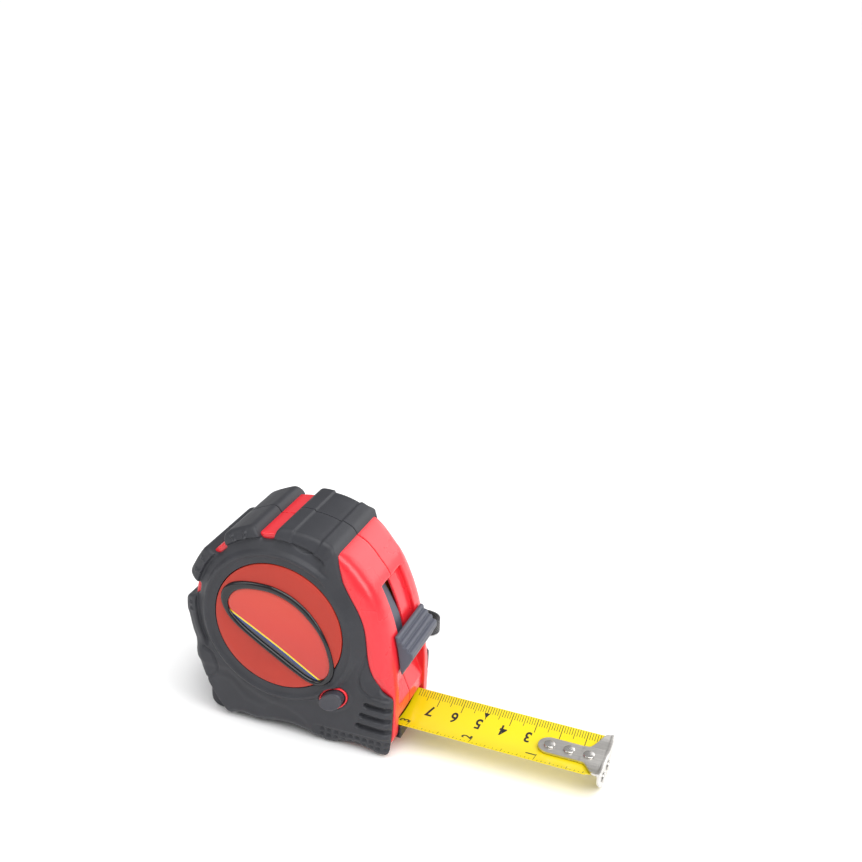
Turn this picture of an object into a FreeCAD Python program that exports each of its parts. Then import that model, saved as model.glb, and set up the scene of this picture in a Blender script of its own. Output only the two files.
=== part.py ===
import FreeCAD, Part
import os
from math import sin, cos, radians, atan2, sqrt, degrees, tan, pi

V = FreeCAD.Vector
os.makedirs("parts", exist_ok=True)

# ---------------------------------------------------------------- driving sizes (mm)
# Pocket tape measure, 10 m x 25 mm blade. X runs forward, out of the mouth; Z is up;
# the label side faces -Y and the belt-clip side faces +Y.
# Working coordinates: x from the coil's axis, y from the split plane, z from the feet.
COIL_Z = 49.6          # height of the coil's axis above the feet
SHELL_Y = 17.8         # half thickness of the hard shell
WALL = 2.3             # shell wall
CAV_Y = SHELL_Y - WALL
GRIP_Y = 21.0          # half thickness over the rubber side plates
RING_Y = 22.2          # top of the raised rubber ring round each label
R_SHELL = 37.5         # round back of the shell
R_LABEL = 26.6
R_RING = 30.6
BLADE_W = 25.0
BLADE_T = 0.3          # coated steel, drawn a little thick
BLADE_R = 31.35        # transverse radius of the trough
BLADE_BOT = 10.1       # height of the trough's middle
BLADE_X0, BLADE_X1 = 44.5, 123.7
COIL_R, DRUM_R = 33.0, 22.4
COIL_HALF = 12.5
AXLE_R = 4.0
RUN_FIT = 0.06         # radial clearance of the spool on its axle
FRONT_R = 88.0         # radius of the curved front that the thumb lock rides on
FRONT_CX, FRONT_CZ = -41.5, 29.5
LOCK_UP = 11.0         # degrees of lock travel, about 17 mm
TONGUE_R0, TONGUE_R1 = 81.3, 82.7
LOCK_HALF = 13.2
BTN_X, BTN_Z, BTN_TILT = 23.2, 23.7, 35.5
BTN_A, BTN_B = 5.5, 3.75        # half axes of the brake button
BEZ_A, BEZ_B = 6.85, 4.85
HOOK_X = 124.6         # inner face of the hook's flange
HOOK_T = 0.9
RIVETS_X = (103.3, 111.0, 118.7)
SCREWS = ((-29.0, 21.5), (33.5, 25.0), (19.0, 82.3))
STRAP_W, STRAP_T = 7.0, 1.4
PIN_X, PIN_Z, PIN_R = -32.3, 6.3, 1.1

# ---------------------------------------------------------------- helpers
def box(x0, x1, y0, y1, z0, z1):
    return Part.makeBox(x1 - x0, y1 - y0, z1 - z0, V(x0, y0, z0))

def cyl(x, z, r, y0, y1):
    return Part.makeCylinder(r, y1 - y0, V(x, y0, z), V(0, 1, 0))

def prism(pts, y0, y1):
    w = Part.makePolygon([V(x, y0, z) for x, z in pts] + [V(pts[0][0], y0, pts[0][1])])
    return Part.Face(w).extrude(V(0, y1 - y0, 0))

def smooth_prism(pts, y0, y1):
    c = Part.BSplineCurve()
    c.interpolate([V(x, y0, z) for x, z in pts], PeriodicFlag=True)
    return Part.Face(Part.Wire([c.toShape()])).extrude(V(0, y1 - y0, 0))

def oval(x, z, a, b, tilt, y0, y1):
    t = radians(tilt)
    e = Part.Ellipse(V(x + a * cos(t), y0, z + a * sin(t)),
                     V(x - b * sin(t), y0, z + b * cos(t)), V(x, y0, z))
    return Part.Face(Part.Wire([e.toShape()])).extrude(V(0, y1 - y0, 0))

def front_pt(r, deg):
    return (FRONT_CX + r * cos(radians(deg)), FRONT_CZ + r * sin(radians(deg)))

def sector(r0, r1, a0, a1, y0, y1, n=14):
    pts = [front_pt(r1, a0 + (a1 - a0) * i / n) for i in range(n + 1)]
    pts += [front_pt(r0, a1 - (a1 - a0) * i / n) for i in range(n + 1)]
    return prism(pts, y0, y1)

def mirror(s):
    return s.mirror(V(0, 0, 0), V(0, 1, 0))

def join(*ss):
    s = ss[0].fuse(list(ss[1:])) if len(ss) > 1 else ss[0]
    return s.removeSplitter()

def arc_pts(cx, cz, r, a0, a1, n):
    return [(cx + r * cos(radians(a0 + (a1 - a0) * i / n)),
             cz + r * sin(radians(a0 + (a1 - a0) * i / n))) for i in range(n + 1)]

def trough(x0, x1, dz=0.0, r0=BLADE_R, r1=BLADE_R + BLADE_T, half=BLADE_W / 2):
    zc = BLADE_BOT + BLADE_R + dz
    ring = Part.makeCylinder(r1, x1 - x0, V(x0, 0, zc), V(1, 0, 0)).cut(
        Part.makeCylinder(r0, x1 - x0, V(x0, 0, zc), V(1, 0, 0)))
    return ring.common(box(x0, x1, -half, half, zc - r1 - 1, zc - r1 * 0.5))

# ---------------------------------------------------------------- side outlines
front_arc = [front_pt(FRONT_R, a) for a in (0, 3, 6, 9, 12, 15, 18, 21, 24, 27)]
SHELL = ([(-29.5, 5.0), (42.0, 5.0), (46.5, 9.5)] + front_arc +
         [(34.8, 72.9), (32.5, 75.5), (30.2, 78.4), (27.6, 81.0), (25.3, 82.5),
          (22.9, 83.6), (19.6, 84.4)] +
         arc_pts(0, COIL_Z, 38.4, 62, 90, 8) + arc_pts(0, COIL_Z, R_SHELL, 93, 194, 28) +
         [(-35.0, 33.0), (-34.0, 24.0), (-32.4, 15.0), (-31.6, 7.5)])
CAVITY = ([(-28.6, 8.2), (36.0, 8.2), (41.6, 9.6)] +
          [front_pt(FRONT_R - 4.9, a) for a in (-3, 0)] +
          [front_pt(FRONT_R - 2.6, a) for a in (2, 6, 10, 14, 18, 22, 26)] +
          [(32.4, 72.0), (28.0, 77.2), (24.2, 80.2), (20.0, 81.6)] +
          arc_pts(0, COIL_Z, 35.6, 64, 90, 8) + arc_pts(0, COIL_Z, 35.2, 93, 194, 28) +
          [(-32.6, 32.6), (-31.4, 24.0), (-29.9, 15.0)])
GRIP = [(-33.7, 3.3), (-32.6, 1.4), (-30.6, 0.2), (-29.6, 0.0), (-25.6, 0.0), (-24.2, 0.6),
        (-21.3, 2.2), (-17.4, 2.9), (-14.2, 2.5), (-10.9, 2.0), (-7.7, 2.6), (-2.6, 3.6),
        (3.9, 4.1), (10.4, 3.2), (15.7, 1.3), (18.4, 0.1), (19.0, 0.0), (21.2, 0.0),
        (22.8, 0.7), (25.4, 1.9), (29.9, 2.6), (33.8, 2.3), (37.8, 1.2), (40.6, 0.1),
        (41.4, 0.0), (44.4, 0.0), (45.8, 0.8), (46.6, 2.2), (46.8, 7.8), (47.1, 14.3),
        (47.3, 22.1), (47.3, 27.6), (46.5, 28.3), (44.6, 28.4), (40.9, 30.7), (38.7, 34.4),
        (36.7, 39.5), (35.9, 44.6), (35.5, 51.1), (34.9, 56.2), (33.2, 60.6), (30.6, 65.6),
        (27.8, 69.3), (25.8, 72.1), (25.1, 74.9), (24.2, 78.1), (23.3, 81.3), (22.7, 83.9),
        (21.4, 86.0), (20.7, 86.6), (14.7, 89.1), (11.5, 89.9), (8.8, 90.3), (4.2, 90.5),
        (0.3, 90.4), (-1.2, 89.6), (-1.9, 87.9), (-2.4, 86.3)]
GRIP += arc_pts(0, COIL_Z, 36.8, 94.4, 103.0, 3)          # first window
GRIP += [(-9.4, 87.0), (-10.5, 88.3), (-11.9, 88.9), (-18.1, 86.1), (-21.3, 84.4),
         (-23.1, 83.0), (-23.9, 81.8), (-23.6, 80.2)]
GRIP += arc_pts(0, COIL_Z, 36.8, 128.5, 138.5, 3)         # second window
GRIP += [(-29.6, 74.6), (-31.0, 75.1), (-32.6, 74.5), (-33.6, 73.2), (-36.0, 69.3),
         (-38.5, 64.6), (-39.3, 62.9), (-38.9, 61.6), (-37.2, 60.4)]
GRIP += arc_pts(0, COIL_Z, 36.6, 164.5, 172.5, 3)         # third window
GRIP += [(-38.3, 52.9), (-40.4, 51.7), (-41.6, 50.7), (-41.8, 46.9), (-41.8, 44.5),
         (-40.9, 43.8), (-40.4, 40.5), (-39.5, 36.0), (-38.1, 31.6), (-37.0, 24.7),
         (-36.1, 23.9), (-35.9, 21.3), (-34.6, 16.3), (-34.0, 15.0), (-33.8, 8.5)]
RIM_OUT = [(-23.7, 54.6), (-23.7, 59.2), (-21.7, 62.5), (-18.0, 65.1), (-12.2, 66.6),
           (-5.8, 67.0), (-0.6, 66.6), (6.1, 64.5), (12.2, 60.4), (17.1, 54.9), (20.8, 48.1),
           (22.9, 41.7), (23.6, 36.6), (22.6, 32.0), (20.2, 29.2), (17.1, 28.0), (13.8, 28.1),
           (9.9, 29.5), (3.1, 33.2), (-3.7, 37.2), (-10.4, 41.3), (-16.6, 45.4), (-20.9, 49.4)]
RIM_IN = [(-20.9, 54.2), (-20.3, 57.5), (-17.7, 60.9), (-13.3, 63.0), (-7.5, 63.9), (-1.7, 63.8),
          (4.3, 62.1), (9.7, 58.9), (15.3, 53.5), (18.9, 47.9), (21.0, 41.6), (21.5, 37.1),
          (20.6, 33.5), (18.5, 31.0), (15.3, 29.9), (11.7, 30.9), (5.7, 34.2), (-1.1, 38.2),
          (-7.9, 42.2), (-14.0, 46.2), (-18.8, 50.4)]

parts = {}

# ---------------------------------------------------------------- hard shell, two halves
def shell_half(side):
    y0, y1 = (-SHELL_Y, 0.0) if side < 0 else (0.0, SHELL_Y)
    c0, c1 = (-CAV_Y, 1.0) if side < 0 else (-1.0, CAV_Y)
    s = prism(SHELL, y0, y1).cut(prism(CAVITY, c0, c1))
    sgn = -1 if side < 0 else 1
    def yy(a, b):
        return (a, b) if side > 0 else (-b, -a)
    # raised boss that carries the label, and the hub that carries the axle
    s = s.fuse([cyl(0, COIL_Z, R_LABEL, *yy(SHELL_Y, GRIP_Y)),
                cyl(0, COIL_Z, 7.0, *yy(13.2, CAV_Y))])
    # screw bosses
    outer = prism(SHELL, y0, y1)
    bosses = [cyl(x, z, 2.7, *yy(0.0, CAV_Y)).common(outer) for x, z in SCREWS]
    s = s.fuse(bosses)
    s = s.cut(cyl(0, COIL_Z, AXLE_R, -CAV_Y, CAV_Y))
    # room for the lock's tongue, the slot, its recess and the mouth
    s = s.cut(sector(TONGUE_R0 - 0.5, TONGUE_R1 + 0.4, -10.5, 39.0, -8.8, 8.8))
    s = s.cut(sector(80.0, 92.0, 1.5, 26.9, -8.4, -0.6))
    s = s.cut(sector(86.6, 92.0, 1.5, 26.9, -8.8, 8.8))
    s = s.cut(prism([(43.6, 4.0), (43.6, 33.2), (47.5, 29.5), (47.5, 4.0)], -13.2, 13.2))
    s = s.cut(box(39.5, 48.0, -13.2, 13.2, 6.4, 15.4))
    s = s.cut(box(30.0, 42.2, -9.0, 9.0, 9.0, 22.0).common(prism(CAVITY, -9, 9)))
    # strap notch and pin seats
    s = s.cut(box(-40.0, -29.6, -5.2, 5.2, 0.0, 10.8))
    s = s.cut(cyl(PIN_X, PIN_Z, PIN_R, -8.0, 8.0))
    for x, z in SCREWS:
        s = s.cut(cyl(x, z, 1.2, -13.0, 19.0))
    if side < 0:
        # brake button's guide: stem hole and spring pocket
        s = s.cut(cyl(BTN_X, BTN_Z, 1.86, -SHELL_Y - 1, -CAV_Y + 1))
        s = s.cut(cyl(BTN_X, BTN_Z, 3.2, -SHELL_Y - 1, -16.3))
    else:
        s = s.cut(cyl(0, COIL_Z, 1.6, CAV_Y - 3, GRIP_Y + 1))
    return s.removeSplitter()

parts["label_side_shell"] = shell_half(-1)
parts["clip_side_shell"] = shell_half(1)

# ---------------------------------------------------------------- rubber over-mould
def grip_half(side):
    base = prism(GRIP, -GRIP_Y, 0.0)
    ring = cyl(0, COIL_Z, R_RING, -RING_Y, -GRIP_Y)
    s = base.fuse(ring).cut(prism(SHELL, -SHELL_Y, 1.0))
    s = s.cut(cyl(0, COIL_Z, R_LABEL, -30, -SHELL_Y + 0.001))
    # three finger grooves at the front of the side plate
    for (xa, za, xb) in ((36.3, 23.3, 50), (34.6, 18.2, 50), (33.0, 13.2, 50)):
        g = box(xa, xb, -GRIP_Y - 1, -GRIP_Y + 1.6, za - 1.35, za + 1.35).fuse(
            cyl(xa, za, 1.35, -GRIP_Y - 1, -GRIP_Y + 1.6))
        s = s.cut(g)
    # rear lobes are set in from the side plane, and the throat side is open at the front
    s = s.cut(box(-45, -23.5, -GRIP_Y - 2, -18.8, -1, 14.5))
    s = s.cut(box(25.0, 50, -15.0, 1, -1, 5.0))
    s = s.cut(box(41.9, 50, -17.8, 1, -1, 29.0))
    s = s.cut(box(-40.0, -29.6, -5.2, 1.0, -1.0, 10.8))
    s = s.cut(cyl(PIN_X, PIN_Z, PIN_R, -8.0, 1.0))
    if side < 0:
        s = s.cut(oval(BTN_X, BTN_Z, BEZ_A, BEZ_B, BTN_TILT, -30, -SHELL_Y + 0.001))
        s = s.cut(smooth_prism(RIM_OUT, -30, -GRIP_Y - 0.8))
    else:
        s = mirror(s)
        for x, z in SCREWS:
            s = s.cut(cyl(x, z, 2.9, SHELL_Y - 0.001, 30))
    return s.removeSplitter()

parts["label_side_grip"] = grip_half(-1)
parts["clip_side_grip"] = grip_half(1)

# black lip that guides the blade and takes the hook's knock
lip = box(43.4, 47.8, -13.0, 13.0, 6.5, 11.9).cut(
    Part.makeCylinder(BLADE_R + BLADE_T + 0.35, 12, V(39, 0, BLADE_BOT + BLADE_R), V(1, 0, 0)))
parts["mouth_lip"] = lip

# ---------------------------------------------------------------- labels
parts["label_plate"] = cyl(0, COIL_Z, R_LABEL - 0.1, -GRIP_Y - 0.8, -GRIP_Y)
rim = smooth_prism(RIM_OUT, -GRIP_Y - 1.8, -GRIP_Y - 0.8)
dome = smooth_prism(RIM_IN, -GRIP_Y - 1.5, -GRIP_Y - 0.8)
parts["label_rim"] = rim.cut(smooth_prism(RIM_IN, -GRIP_Y - 3, -GRIP_Y))
parts["label_dome"] = dome
parts["clip_side_label"] = cyl(0, COIL_Z, R_LABEL - 0.1, GRIP_Y, GRIP_Y + 0.8).cut(
    cyl(0, COIL_Z, 1.6, GRIP_Y - 1, GRIP_Y + 2))

# ---------------------------------------------------------------- screws
scr = []
for x, z in SCREWS:
    q = cyl(x, z, 1.2, -13.0, SHELL_Y).fuse(cyl(x, z, 2.7, SHELL_Y, SHELL_Y + 1.7))
    q = q.cut(box(x - 1.7, x + 1.7, SHELL_Y + 0.8, SHELL_Y + 3, z - 0.3, z + 0.3))
    q = q.cut(box(x - 0.3, x + 0.3, SHELL_Y + 0.8, SHELL_Y + 3, z - 1.7, z + 1.7))
    scr.append(q)
parts["case_screws"] = Part.makeCompound(scr)

# ---------------------------------------------------------------- spool
axle = cyl(0, COIL_Z, AXLE_R, -CAV_Y, CAV_Y)
axle = axle.cut(box(-5, 5, -7, 7, COIL_Z - 0.4, COIL_Z + 0.4))
parts["spool_axle"] = axle
drum = cyl(0, COIL_Z, DRUM_R, -12.6, 12.6).cut(cyl(0, COIL_Z, 19.6, -11.4, 13))
drum = drum.cut(cyl(0, COIL_Z, AXLE_R + RUN_FIT, -14, 14))
drum = drum.fuse(cyl(0, COIL_Z, 6.5, -11.4, -9.0).cut(cyl(0, COIL_Z, AXLE_R + RUN_FIT, -14, 14)))
parts["spool_drum"] = drum.removeSplitter()
parts["drum_cap"] = cyl(0, COIL_Z, 19.6, 11.4, 12.6).cut(cyl(0, COIL_Z, AXLE_R + RUN_FIT, 10, 14))
spring = cyl(0, COIL_Z, 18.6, -8.8, 11.0).cut(cyl(0, COIL_Z, 9.0, -9, 12))
parts["power_spring"] = spring
parts["blade_coil"] = cyl(0, COIL_Z, COIL_R, -COIL_HALF, COIL_HALF).cut(
    cyl(0, COIL_Z, DRUM_R, -13, 13))
# the stretch between the coil and the mouth
parts["blade_throat"] = trough(2.0, 43.2, dz=-0.42)

# ---------------------------------------------------------------- blade and hook
strip = trough(BLADE_X0, BLADE_X1)
strip = strip.cut(prism([(BLADE_X1 - 3.2, 0), (BLADE_X1 + 1, 0), (BLADE_X1 + 1, 30), (BLADE_X1 - 3.2, 30)],
                        -20, -10.8))
zr = BLADE_BOT - BLADE_T
for x in RIVETS_X:
    strip = strip.cut(Part.makeCylinder(1.2, 6, V(x, 0, zr - 2), V(0, 0, 1)))
parts["blade_strip"] = strip
TZ = BLADE_BOT + 0.62         # underside of the hook's tongue
rv = []
for x in RIVETS_X:
    shank = Part.makeCylinder(1.2, TZ + HOOK_T + 0.06 - (zr + 0.05), V(x, 0, zr + 0.05), V(0, 0, 1))
    cap = Part.makeSphere(2.6, V(x, 0, TZ + HOOK_T + 0.06 - 1.7)).common(
        box(x - 3, x + 3, -3, 3, TZ + HOOK_T + 0.06, 30))
    rv.append(shank.fuse(cap).removeSplitter())
parts["hook_rivets"] = Part.makeCompound(rv)
# tongue, rounded at its rear, with three short slots that let it float on the rivets
tong = box(103.6, HOOK_X + HOOK_T, -4.7, 4.7, TZ, TZ + HOOK_T).fuse(
    Part.makeCylinder(4.7, HOOK_T, V(103.6, 0, TZ), V(0, 0, 1)))
flare = trough(116.5, HOOK_X + HOOK_T, r0=BLADE_R - 0.25 - HOOK_T, r1=BLADE_R - 0.25, half=12.4)
plan = Part.Face(Part.makePolygon([V(x, y, 0) for x, y in (
    (116.5, -4.7), (119.6, -6.0), (121.6, -9.0), (122.4, -12.5), (126, -12.5), (126, 12.5),
    (122.4, 12.5), (121.6, 9.0), (119.6, 6.0), (116.5, 4.7), (116.5, -4.7))])).extrude(V(0, 0, 30))
flare = flare.common(plan)
fl_pts = [(-12.4, 9.2), (-8.2, 5.0), (-4.6, 1.9), (-3.4, 1.1), (3.4, 1.1), (4.6, 1.9), (8.2, 5.0),
          (12.4, 9.2), (12.4, 14.0), (-12.4, 14.0)]
flange = Part.Face(Part.makePolygon([V(HOOK_X, y, z) for y, z in fl_pts + [fl_pts[0]]])).extrude(
    V(HOOK_T, 0, 0))
flange = flange.cut(Part.makeCylinder(BLADE_R - 0.25 - HOOK_T, 10, V(120, 0, BLADE_BOT + BLADE_R), V(1, 0, 0)))
hook = tong.fuse([flare, flange])
for x in RIVETS_X:
    sl = box(x - 0.8, x + 0.8, -1.27, 1.27, 0, 20).fuse([
        Part.makeCylinder(1.27, 20, V(x - 0.8, 0, 0), V(0, 0, 1)),
        Part.makeCylinder(1.27, 20, V(x + 0.8, 0, 0), V(0, 0, 1))])
    hook = hook.cut(sl)
parts["end_hook"] = hook.removeSplitter()
parts["hook_magnets"] = Part.makeCompound([
    Part.makeCylinder(2.0, 0.8, V(HOOK_X + HOOK_T, y, 6.4), V(1, 0, 0)) for y in (-3.8, 3.8)])

# ---------------------------------------------------------------- thumb lock
up_pts = [(37.9, 68.4), (38.8, 68.5), (40.2, 67.3), (41.5, 67.2), (43.2, 65.9), (44.6, 65.7),
          (45.9, 65.4), (47.1, 63.9), (47.4, 62.3), (46.4, 59.9), (46.3, 57.2), (45.4, 55.3),
          (45.0, 53.7), (44.5, 51.7), (44.2, 50.7)]
lock_pts = []
for x, z in up_pts:
    r = sqrt((x - FRONT_CX) ** 2 + (z - FRONT_CZ) ** 2)
    a = degrees(atan2(z - FRONT_CZ, x - FRONT_CX)) - LOCK_UP
    lock_pts.append(front_pt(max(r, FRONT_R + 0.4), a))
a_hi = degrees(atan2(68.4 - FRONT_CZ, 37.9 - FRONT_CX)) - LOCK_UP
a_lo = degrees(atan2(50.7 - FRONT_CZ, 44.2 - FRONT_CX)) - LOCK_UP
back = [front_pt(FRONT_R + 0.4, a_lo + (a_hi - a_lo) * i / 6) for i in range(1, 6)]
thumb = prism(lock_pts + back, -LOCK_HALF, LOCK_HALF)
thumb = thumb.fuse(sector(TONGUE_R1, FRONT_R + 1.2, 6.0, 12.0, -7.9, -1.1)).removeSplitter()
parts["thumb_lock"] = thumb
parts["lock_tongue"] = sector(TONGUE_R0, TONGUE_R1, -7.0, 26.3, -8.2, 8.2)
shoe_pts = [(36.4, 12.3), (39.6, 12.3), front_pt(TONGUE_R1, -9.0), front_pt(TONGUE_R1, -7.0),
            front_pt(TONGUE_R0, -7.0), (36.4, 17.0)]
parts["lock_brake_shoe"] = prism(shoe_pts, -7.6, 7.6).cut(box(30, 45, -2.7, 2.7, 10, 13.3))

# ---------------------------------------------------------------- brake button
bez = oval(BTN_X, BTN_Z, BEZ_A, BEZ_B, BTN_TILT, -22.3, -SHELL_Y).cut(
    oval(BTN_X, BTN_Z, BTN_A + 0.25, BTN_B + 0.25, BTN_TILT, -30, -10))
parts["button_bezel"] = bez
cap = oval(BTN_X, BTN_Z, BTN_A, BTN_B, BTN_TILT, -25.0, -20.4)
dish = Part.makeSphere(12.0, V(BTN_X, -36.3, BTN_Z))
parts["brake_button"] = cap.cut(dish)
parts["button_stem"] = cyl(BTN_X, BTN_Z, 1.8, -20.4, -15.4)
parts["brake_pad"] = cyl(BTN_X, BTN_Z, 2.4, -15.4, -14.9)
parts["button_spring"] = cyl(BTN_X, BTN_Z, 2.9, -20.4, -16.3).cut(cyl(BTN_X, BTN_Z, 2.25, -21, -16))

# ---------------------------------------------------------------- belt clip
YC = RING_Y
CT = 0.9                     # clip steel
GAP = 5.4                    # belt gap
clip = box(-9.0, 9.0, YC, YC + CT, 42.0, 76.0)
ro = GAP / 2 + CT
bend = Part.makeCylinder(ro, 18.0, V(-9, YC + ro, 76.0), V(1, 0, 0)).cut(
    Part.makeCylinder(ro - CT, 18.0, V(-9, YC + ro, 76.0), V(1, 0, 0))).common(
    box(-9, 9, YC - 1, YC + 12, 76.0, 90))
leg = box(-9.0, 9.0, YC + CT + GAP, YC + 2 * CT + GAP, 37.0, 76.0)
y2, y3 = YC + CT + GAP, YC + 2 * CT + GAP
toe = Part.Face(Part.makePolygon([V(-9, y2, 37), V(-9, y3, 37), V(-9, y3 + 2.2, 31.5), V(-9, y2 + 2.2, 31.5),
                                  V(-9, y2, 37)])).extrude(V(18, 0, 0))
clip = clip.fuse([bend, leg, toe])
clip = clip.cut(cyl(0, COIL_Z, 1.7, YC - 1, YC + CT + 0.5))
clip = clip.cut(Part.makeCone(1.6, 3.1, CT, V(0, YC, COIL_Z), V(0, 1, 0)))
clip = clip.cut(cyl(0, COIL_Z, 3.6, y2 - 1, y3 + 1))
parts["belt_clip"] = clip.removeSplitter()
cs = cyl(0, COIL_Z, 1.6, CAV_Y + 0.1, YC + 0.01).fuse(Part.makeCone(1.6, 3.1, CT, V(0, YC, COIL_Z), V(0, 1, 0)))
cs = cs.cut(box(-2.0, 2.0, YC + 0.4, YC + 2, COIL_Z - 0.3, COIL_Z + 0.3))
cs = cs.cut(box(-0.3, 0.3, YC + 0.4, YC + 2, COIL_Z - 2.0, COIL_Z + 2.0))
parts["belt_clip_screw"] = cs.removeSplitter()

# ---------------------------------------------------------------- wrist strap and its pin
parts["strap_pin"] = cyl(PIN_X, PIN_Z, PIN_R, -8.0, 8.0)
# one ribbon, standing on edge, out from the pin, round behind the case and back
route = [(-33.5, -2.6), (-37.5, -2.2), (-42.5, 1.2), (-47.0, 8.5), (-49.0, 19.0), (-46.5, 32.0),
         (-38.5, 46.0), (-25.5, 57.5), (-9.5, 65.5), (6.5, 70.5), (18.5, 74.6), (27.0, 76.5),
         (33.2, 73.8), (34.2, 67.6), (29.0, 63.4), (20.5, 63.4), (8.5, 61.6), (-6.0, 57.0),
         (-20.5, 49.6), (-32.0, 39.6), (-39.2, 28.0), (-41.8, 17.5), (-40.8, 9.5), (-37.6, 4.2),
         (-33.5, 2.6)]
def ribbon(pts, w, t, z0):
    P = [V(x, y, 0) for x, y in pts]
    n = len(P)
    radii = []
    edges = []
    start = P[0]
    for i in range(1, n - 1):
        a, b, c = P[i - 1], P[i], P[i + 1]
        u, v = (b - a), (c - b)
        lu, lv = u.Length, v.Length
        u.normalize(); v.normalize()
        ang = u.getAngle(v)
        r = 0.45 * min(lu, lv) / tan(ang / 2)
        tl = r * tan(ang / 2)
        radii.append(r)
        p1, p2 = b - u * tl, b + v * tl
        bis = (v - u); bis.normalize()
        m = b + bis * (r / cos(ang / 2) - r)
        if (p1 - start).Length > 1e-6:
            edges.append(Part.LineSegment(start, p1).toShape())
        edges.append(Part.Arc(p1, m, p2).toShape())
        start = p2
    edges.append(Part.LineSegment(start, P[-1]).toShape())
    wire = Part.Wire(edges)
    d = P[1] - P[0]; d.normalize()
    nrm = V(-d.y, d.x, 0)
    o = P[0]
    prof = Part.Wire(Part.makePolygon([o + nrm * (t / 2) + V(0, 0, z0), o - nrm * (t / 2) + V(0, 0, z0),
                                       o - nrm * (t / 2) + V(0, 0, z0 + w), o + nrm * (t / 2) + V(0, 0, z0 + w),
                                       o + nrm * (t / 2) + V(0, 0, z0)]))
    path = wire.translated(V(0, 0, z0))
    s = path.makePipeShell([prof], True, False, 2)
    return s, wire.Length, radii
strap, slen, radii = ribbon(route, STRAP_W, STRAP_T, 0.3)
parts["wrist_strap"] = strap

# ---------------------------------------------------------------- write, origin at the bottom centre
CORD = ("wrist_strap",)
bb = FreeCAD.BoundBox()
for n, s in parts.items():
    if n not in CORD:
        bb.add(s.BoundBox)
SHIFT = V(-(bb.XMin + bb.XMax) / 2, -(bb.YMin + bb.YMax) / 2, -bb.ZMin)
if __name__ == "__main__":
    print("shift", [round(c, 4) for c in SHIFT], "box", [round(c, 3) for c in (bb.XLength, bb.YLength, bb.ZLength)])
    print("strap length", round(slen, 2), "volume ratio", round(strap.Volume / (slen * STRAP_W * STRAP_T), 4),
          "radii", [round(r, 1) for r in radii])
    for n, s in parts.items():
        t = s.copy()
        t.translate(SHIFT)
        print(n, "valid", t.isValid(), "solids", len(t.Solids), "vol", round(t.Volume, 1))
        if len(t.Solids) == 1 and t.ShapeType == "Compound":
            t = t.Solids[0]
        t.exportStep("parts/%s.step" % n)
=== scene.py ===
import bpy, math
import numpy as np
from mathutils import Vector, Matrix


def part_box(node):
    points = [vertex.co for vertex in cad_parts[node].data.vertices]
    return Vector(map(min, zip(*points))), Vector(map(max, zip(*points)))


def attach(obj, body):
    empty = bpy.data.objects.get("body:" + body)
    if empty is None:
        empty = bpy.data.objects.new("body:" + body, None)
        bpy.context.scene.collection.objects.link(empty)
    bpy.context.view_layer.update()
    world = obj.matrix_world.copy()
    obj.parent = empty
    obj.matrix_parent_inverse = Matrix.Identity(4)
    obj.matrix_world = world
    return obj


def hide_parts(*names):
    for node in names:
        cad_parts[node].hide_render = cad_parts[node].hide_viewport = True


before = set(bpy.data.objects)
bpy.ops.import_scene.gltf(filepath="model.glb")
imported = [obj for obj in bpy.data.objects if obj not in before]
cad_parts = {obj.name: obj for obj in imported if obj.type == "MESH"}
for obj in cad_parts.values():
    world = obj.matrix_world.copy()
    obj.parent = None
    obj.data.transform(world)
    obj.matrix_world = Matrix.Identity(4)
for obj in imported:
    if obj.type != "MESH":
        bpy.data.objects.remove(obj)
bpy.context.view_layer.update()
H_BIG = 0.36

# case coordinates (mm): x from the coil's axis, y from the split plane, z from the feet
_lo, _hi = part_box("blade_coil")
OFF = np.array([(_lo[0] + _hi[0]) / 2, (_lo[1] + _hi[1]) / 2, (_lo[2] + _hi[2]) / 2 - 0.0496]) * 1000.0
CZ = 49.6
FCX, FCZ, FR = -41.5, 29.5, 88.0


def row(p):
    return (np.asarray(p, float) + OFF) / 1000.0


# ------------------------------------------------------------------ camera, floor and light
def make_camera():
    f, az, el, roll, dist, tx, ty = 1250.0, 19.97, 24.01, 2.33, 488.72, -33.94, -77.79
    a, e, r = math.radians(az), math.radians(el), math.radians(roll)
    back = np.array([math.sin(a) * math.cos(e), -math.cos(a) * math.cos(e), math.sin(e)])
    right = np.cross([0, 0, 1], back)
    right /= np.linalg.norm(right)
    upv = np.cross(back, right)
    R2 = right * math.cos(r) + upv * math.sin(r)
    U2 = -right * math.sin(r) + upv * math.cos(r)
    c = back * dist - R2 * tx - U2 * ty + np.array([17.7, 0.0, 40.0])
    cd = bpy.data.cameras.new("view_camera")
    cam = bpy.data.objects.new("view_camera", cd)
    bpy.context.scene.collection.objects.link(cam)
    m = Matrix(((R2[0], U2[0], back[0]), (R2[1], U2[1], back[1]), (R2[2], U2[2], back[2])))
    cam.matrix_world = Matrix.Translation(Vector(row(c))) @ m.to_4x4()
    cd.sensor_width = 36.0
    cd.lens = f / 862.0 * 36.0
    cd.clip_start, cd.clip_end = 0.01, 20.0
    bpy.context.scene.camera = cam


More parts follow.
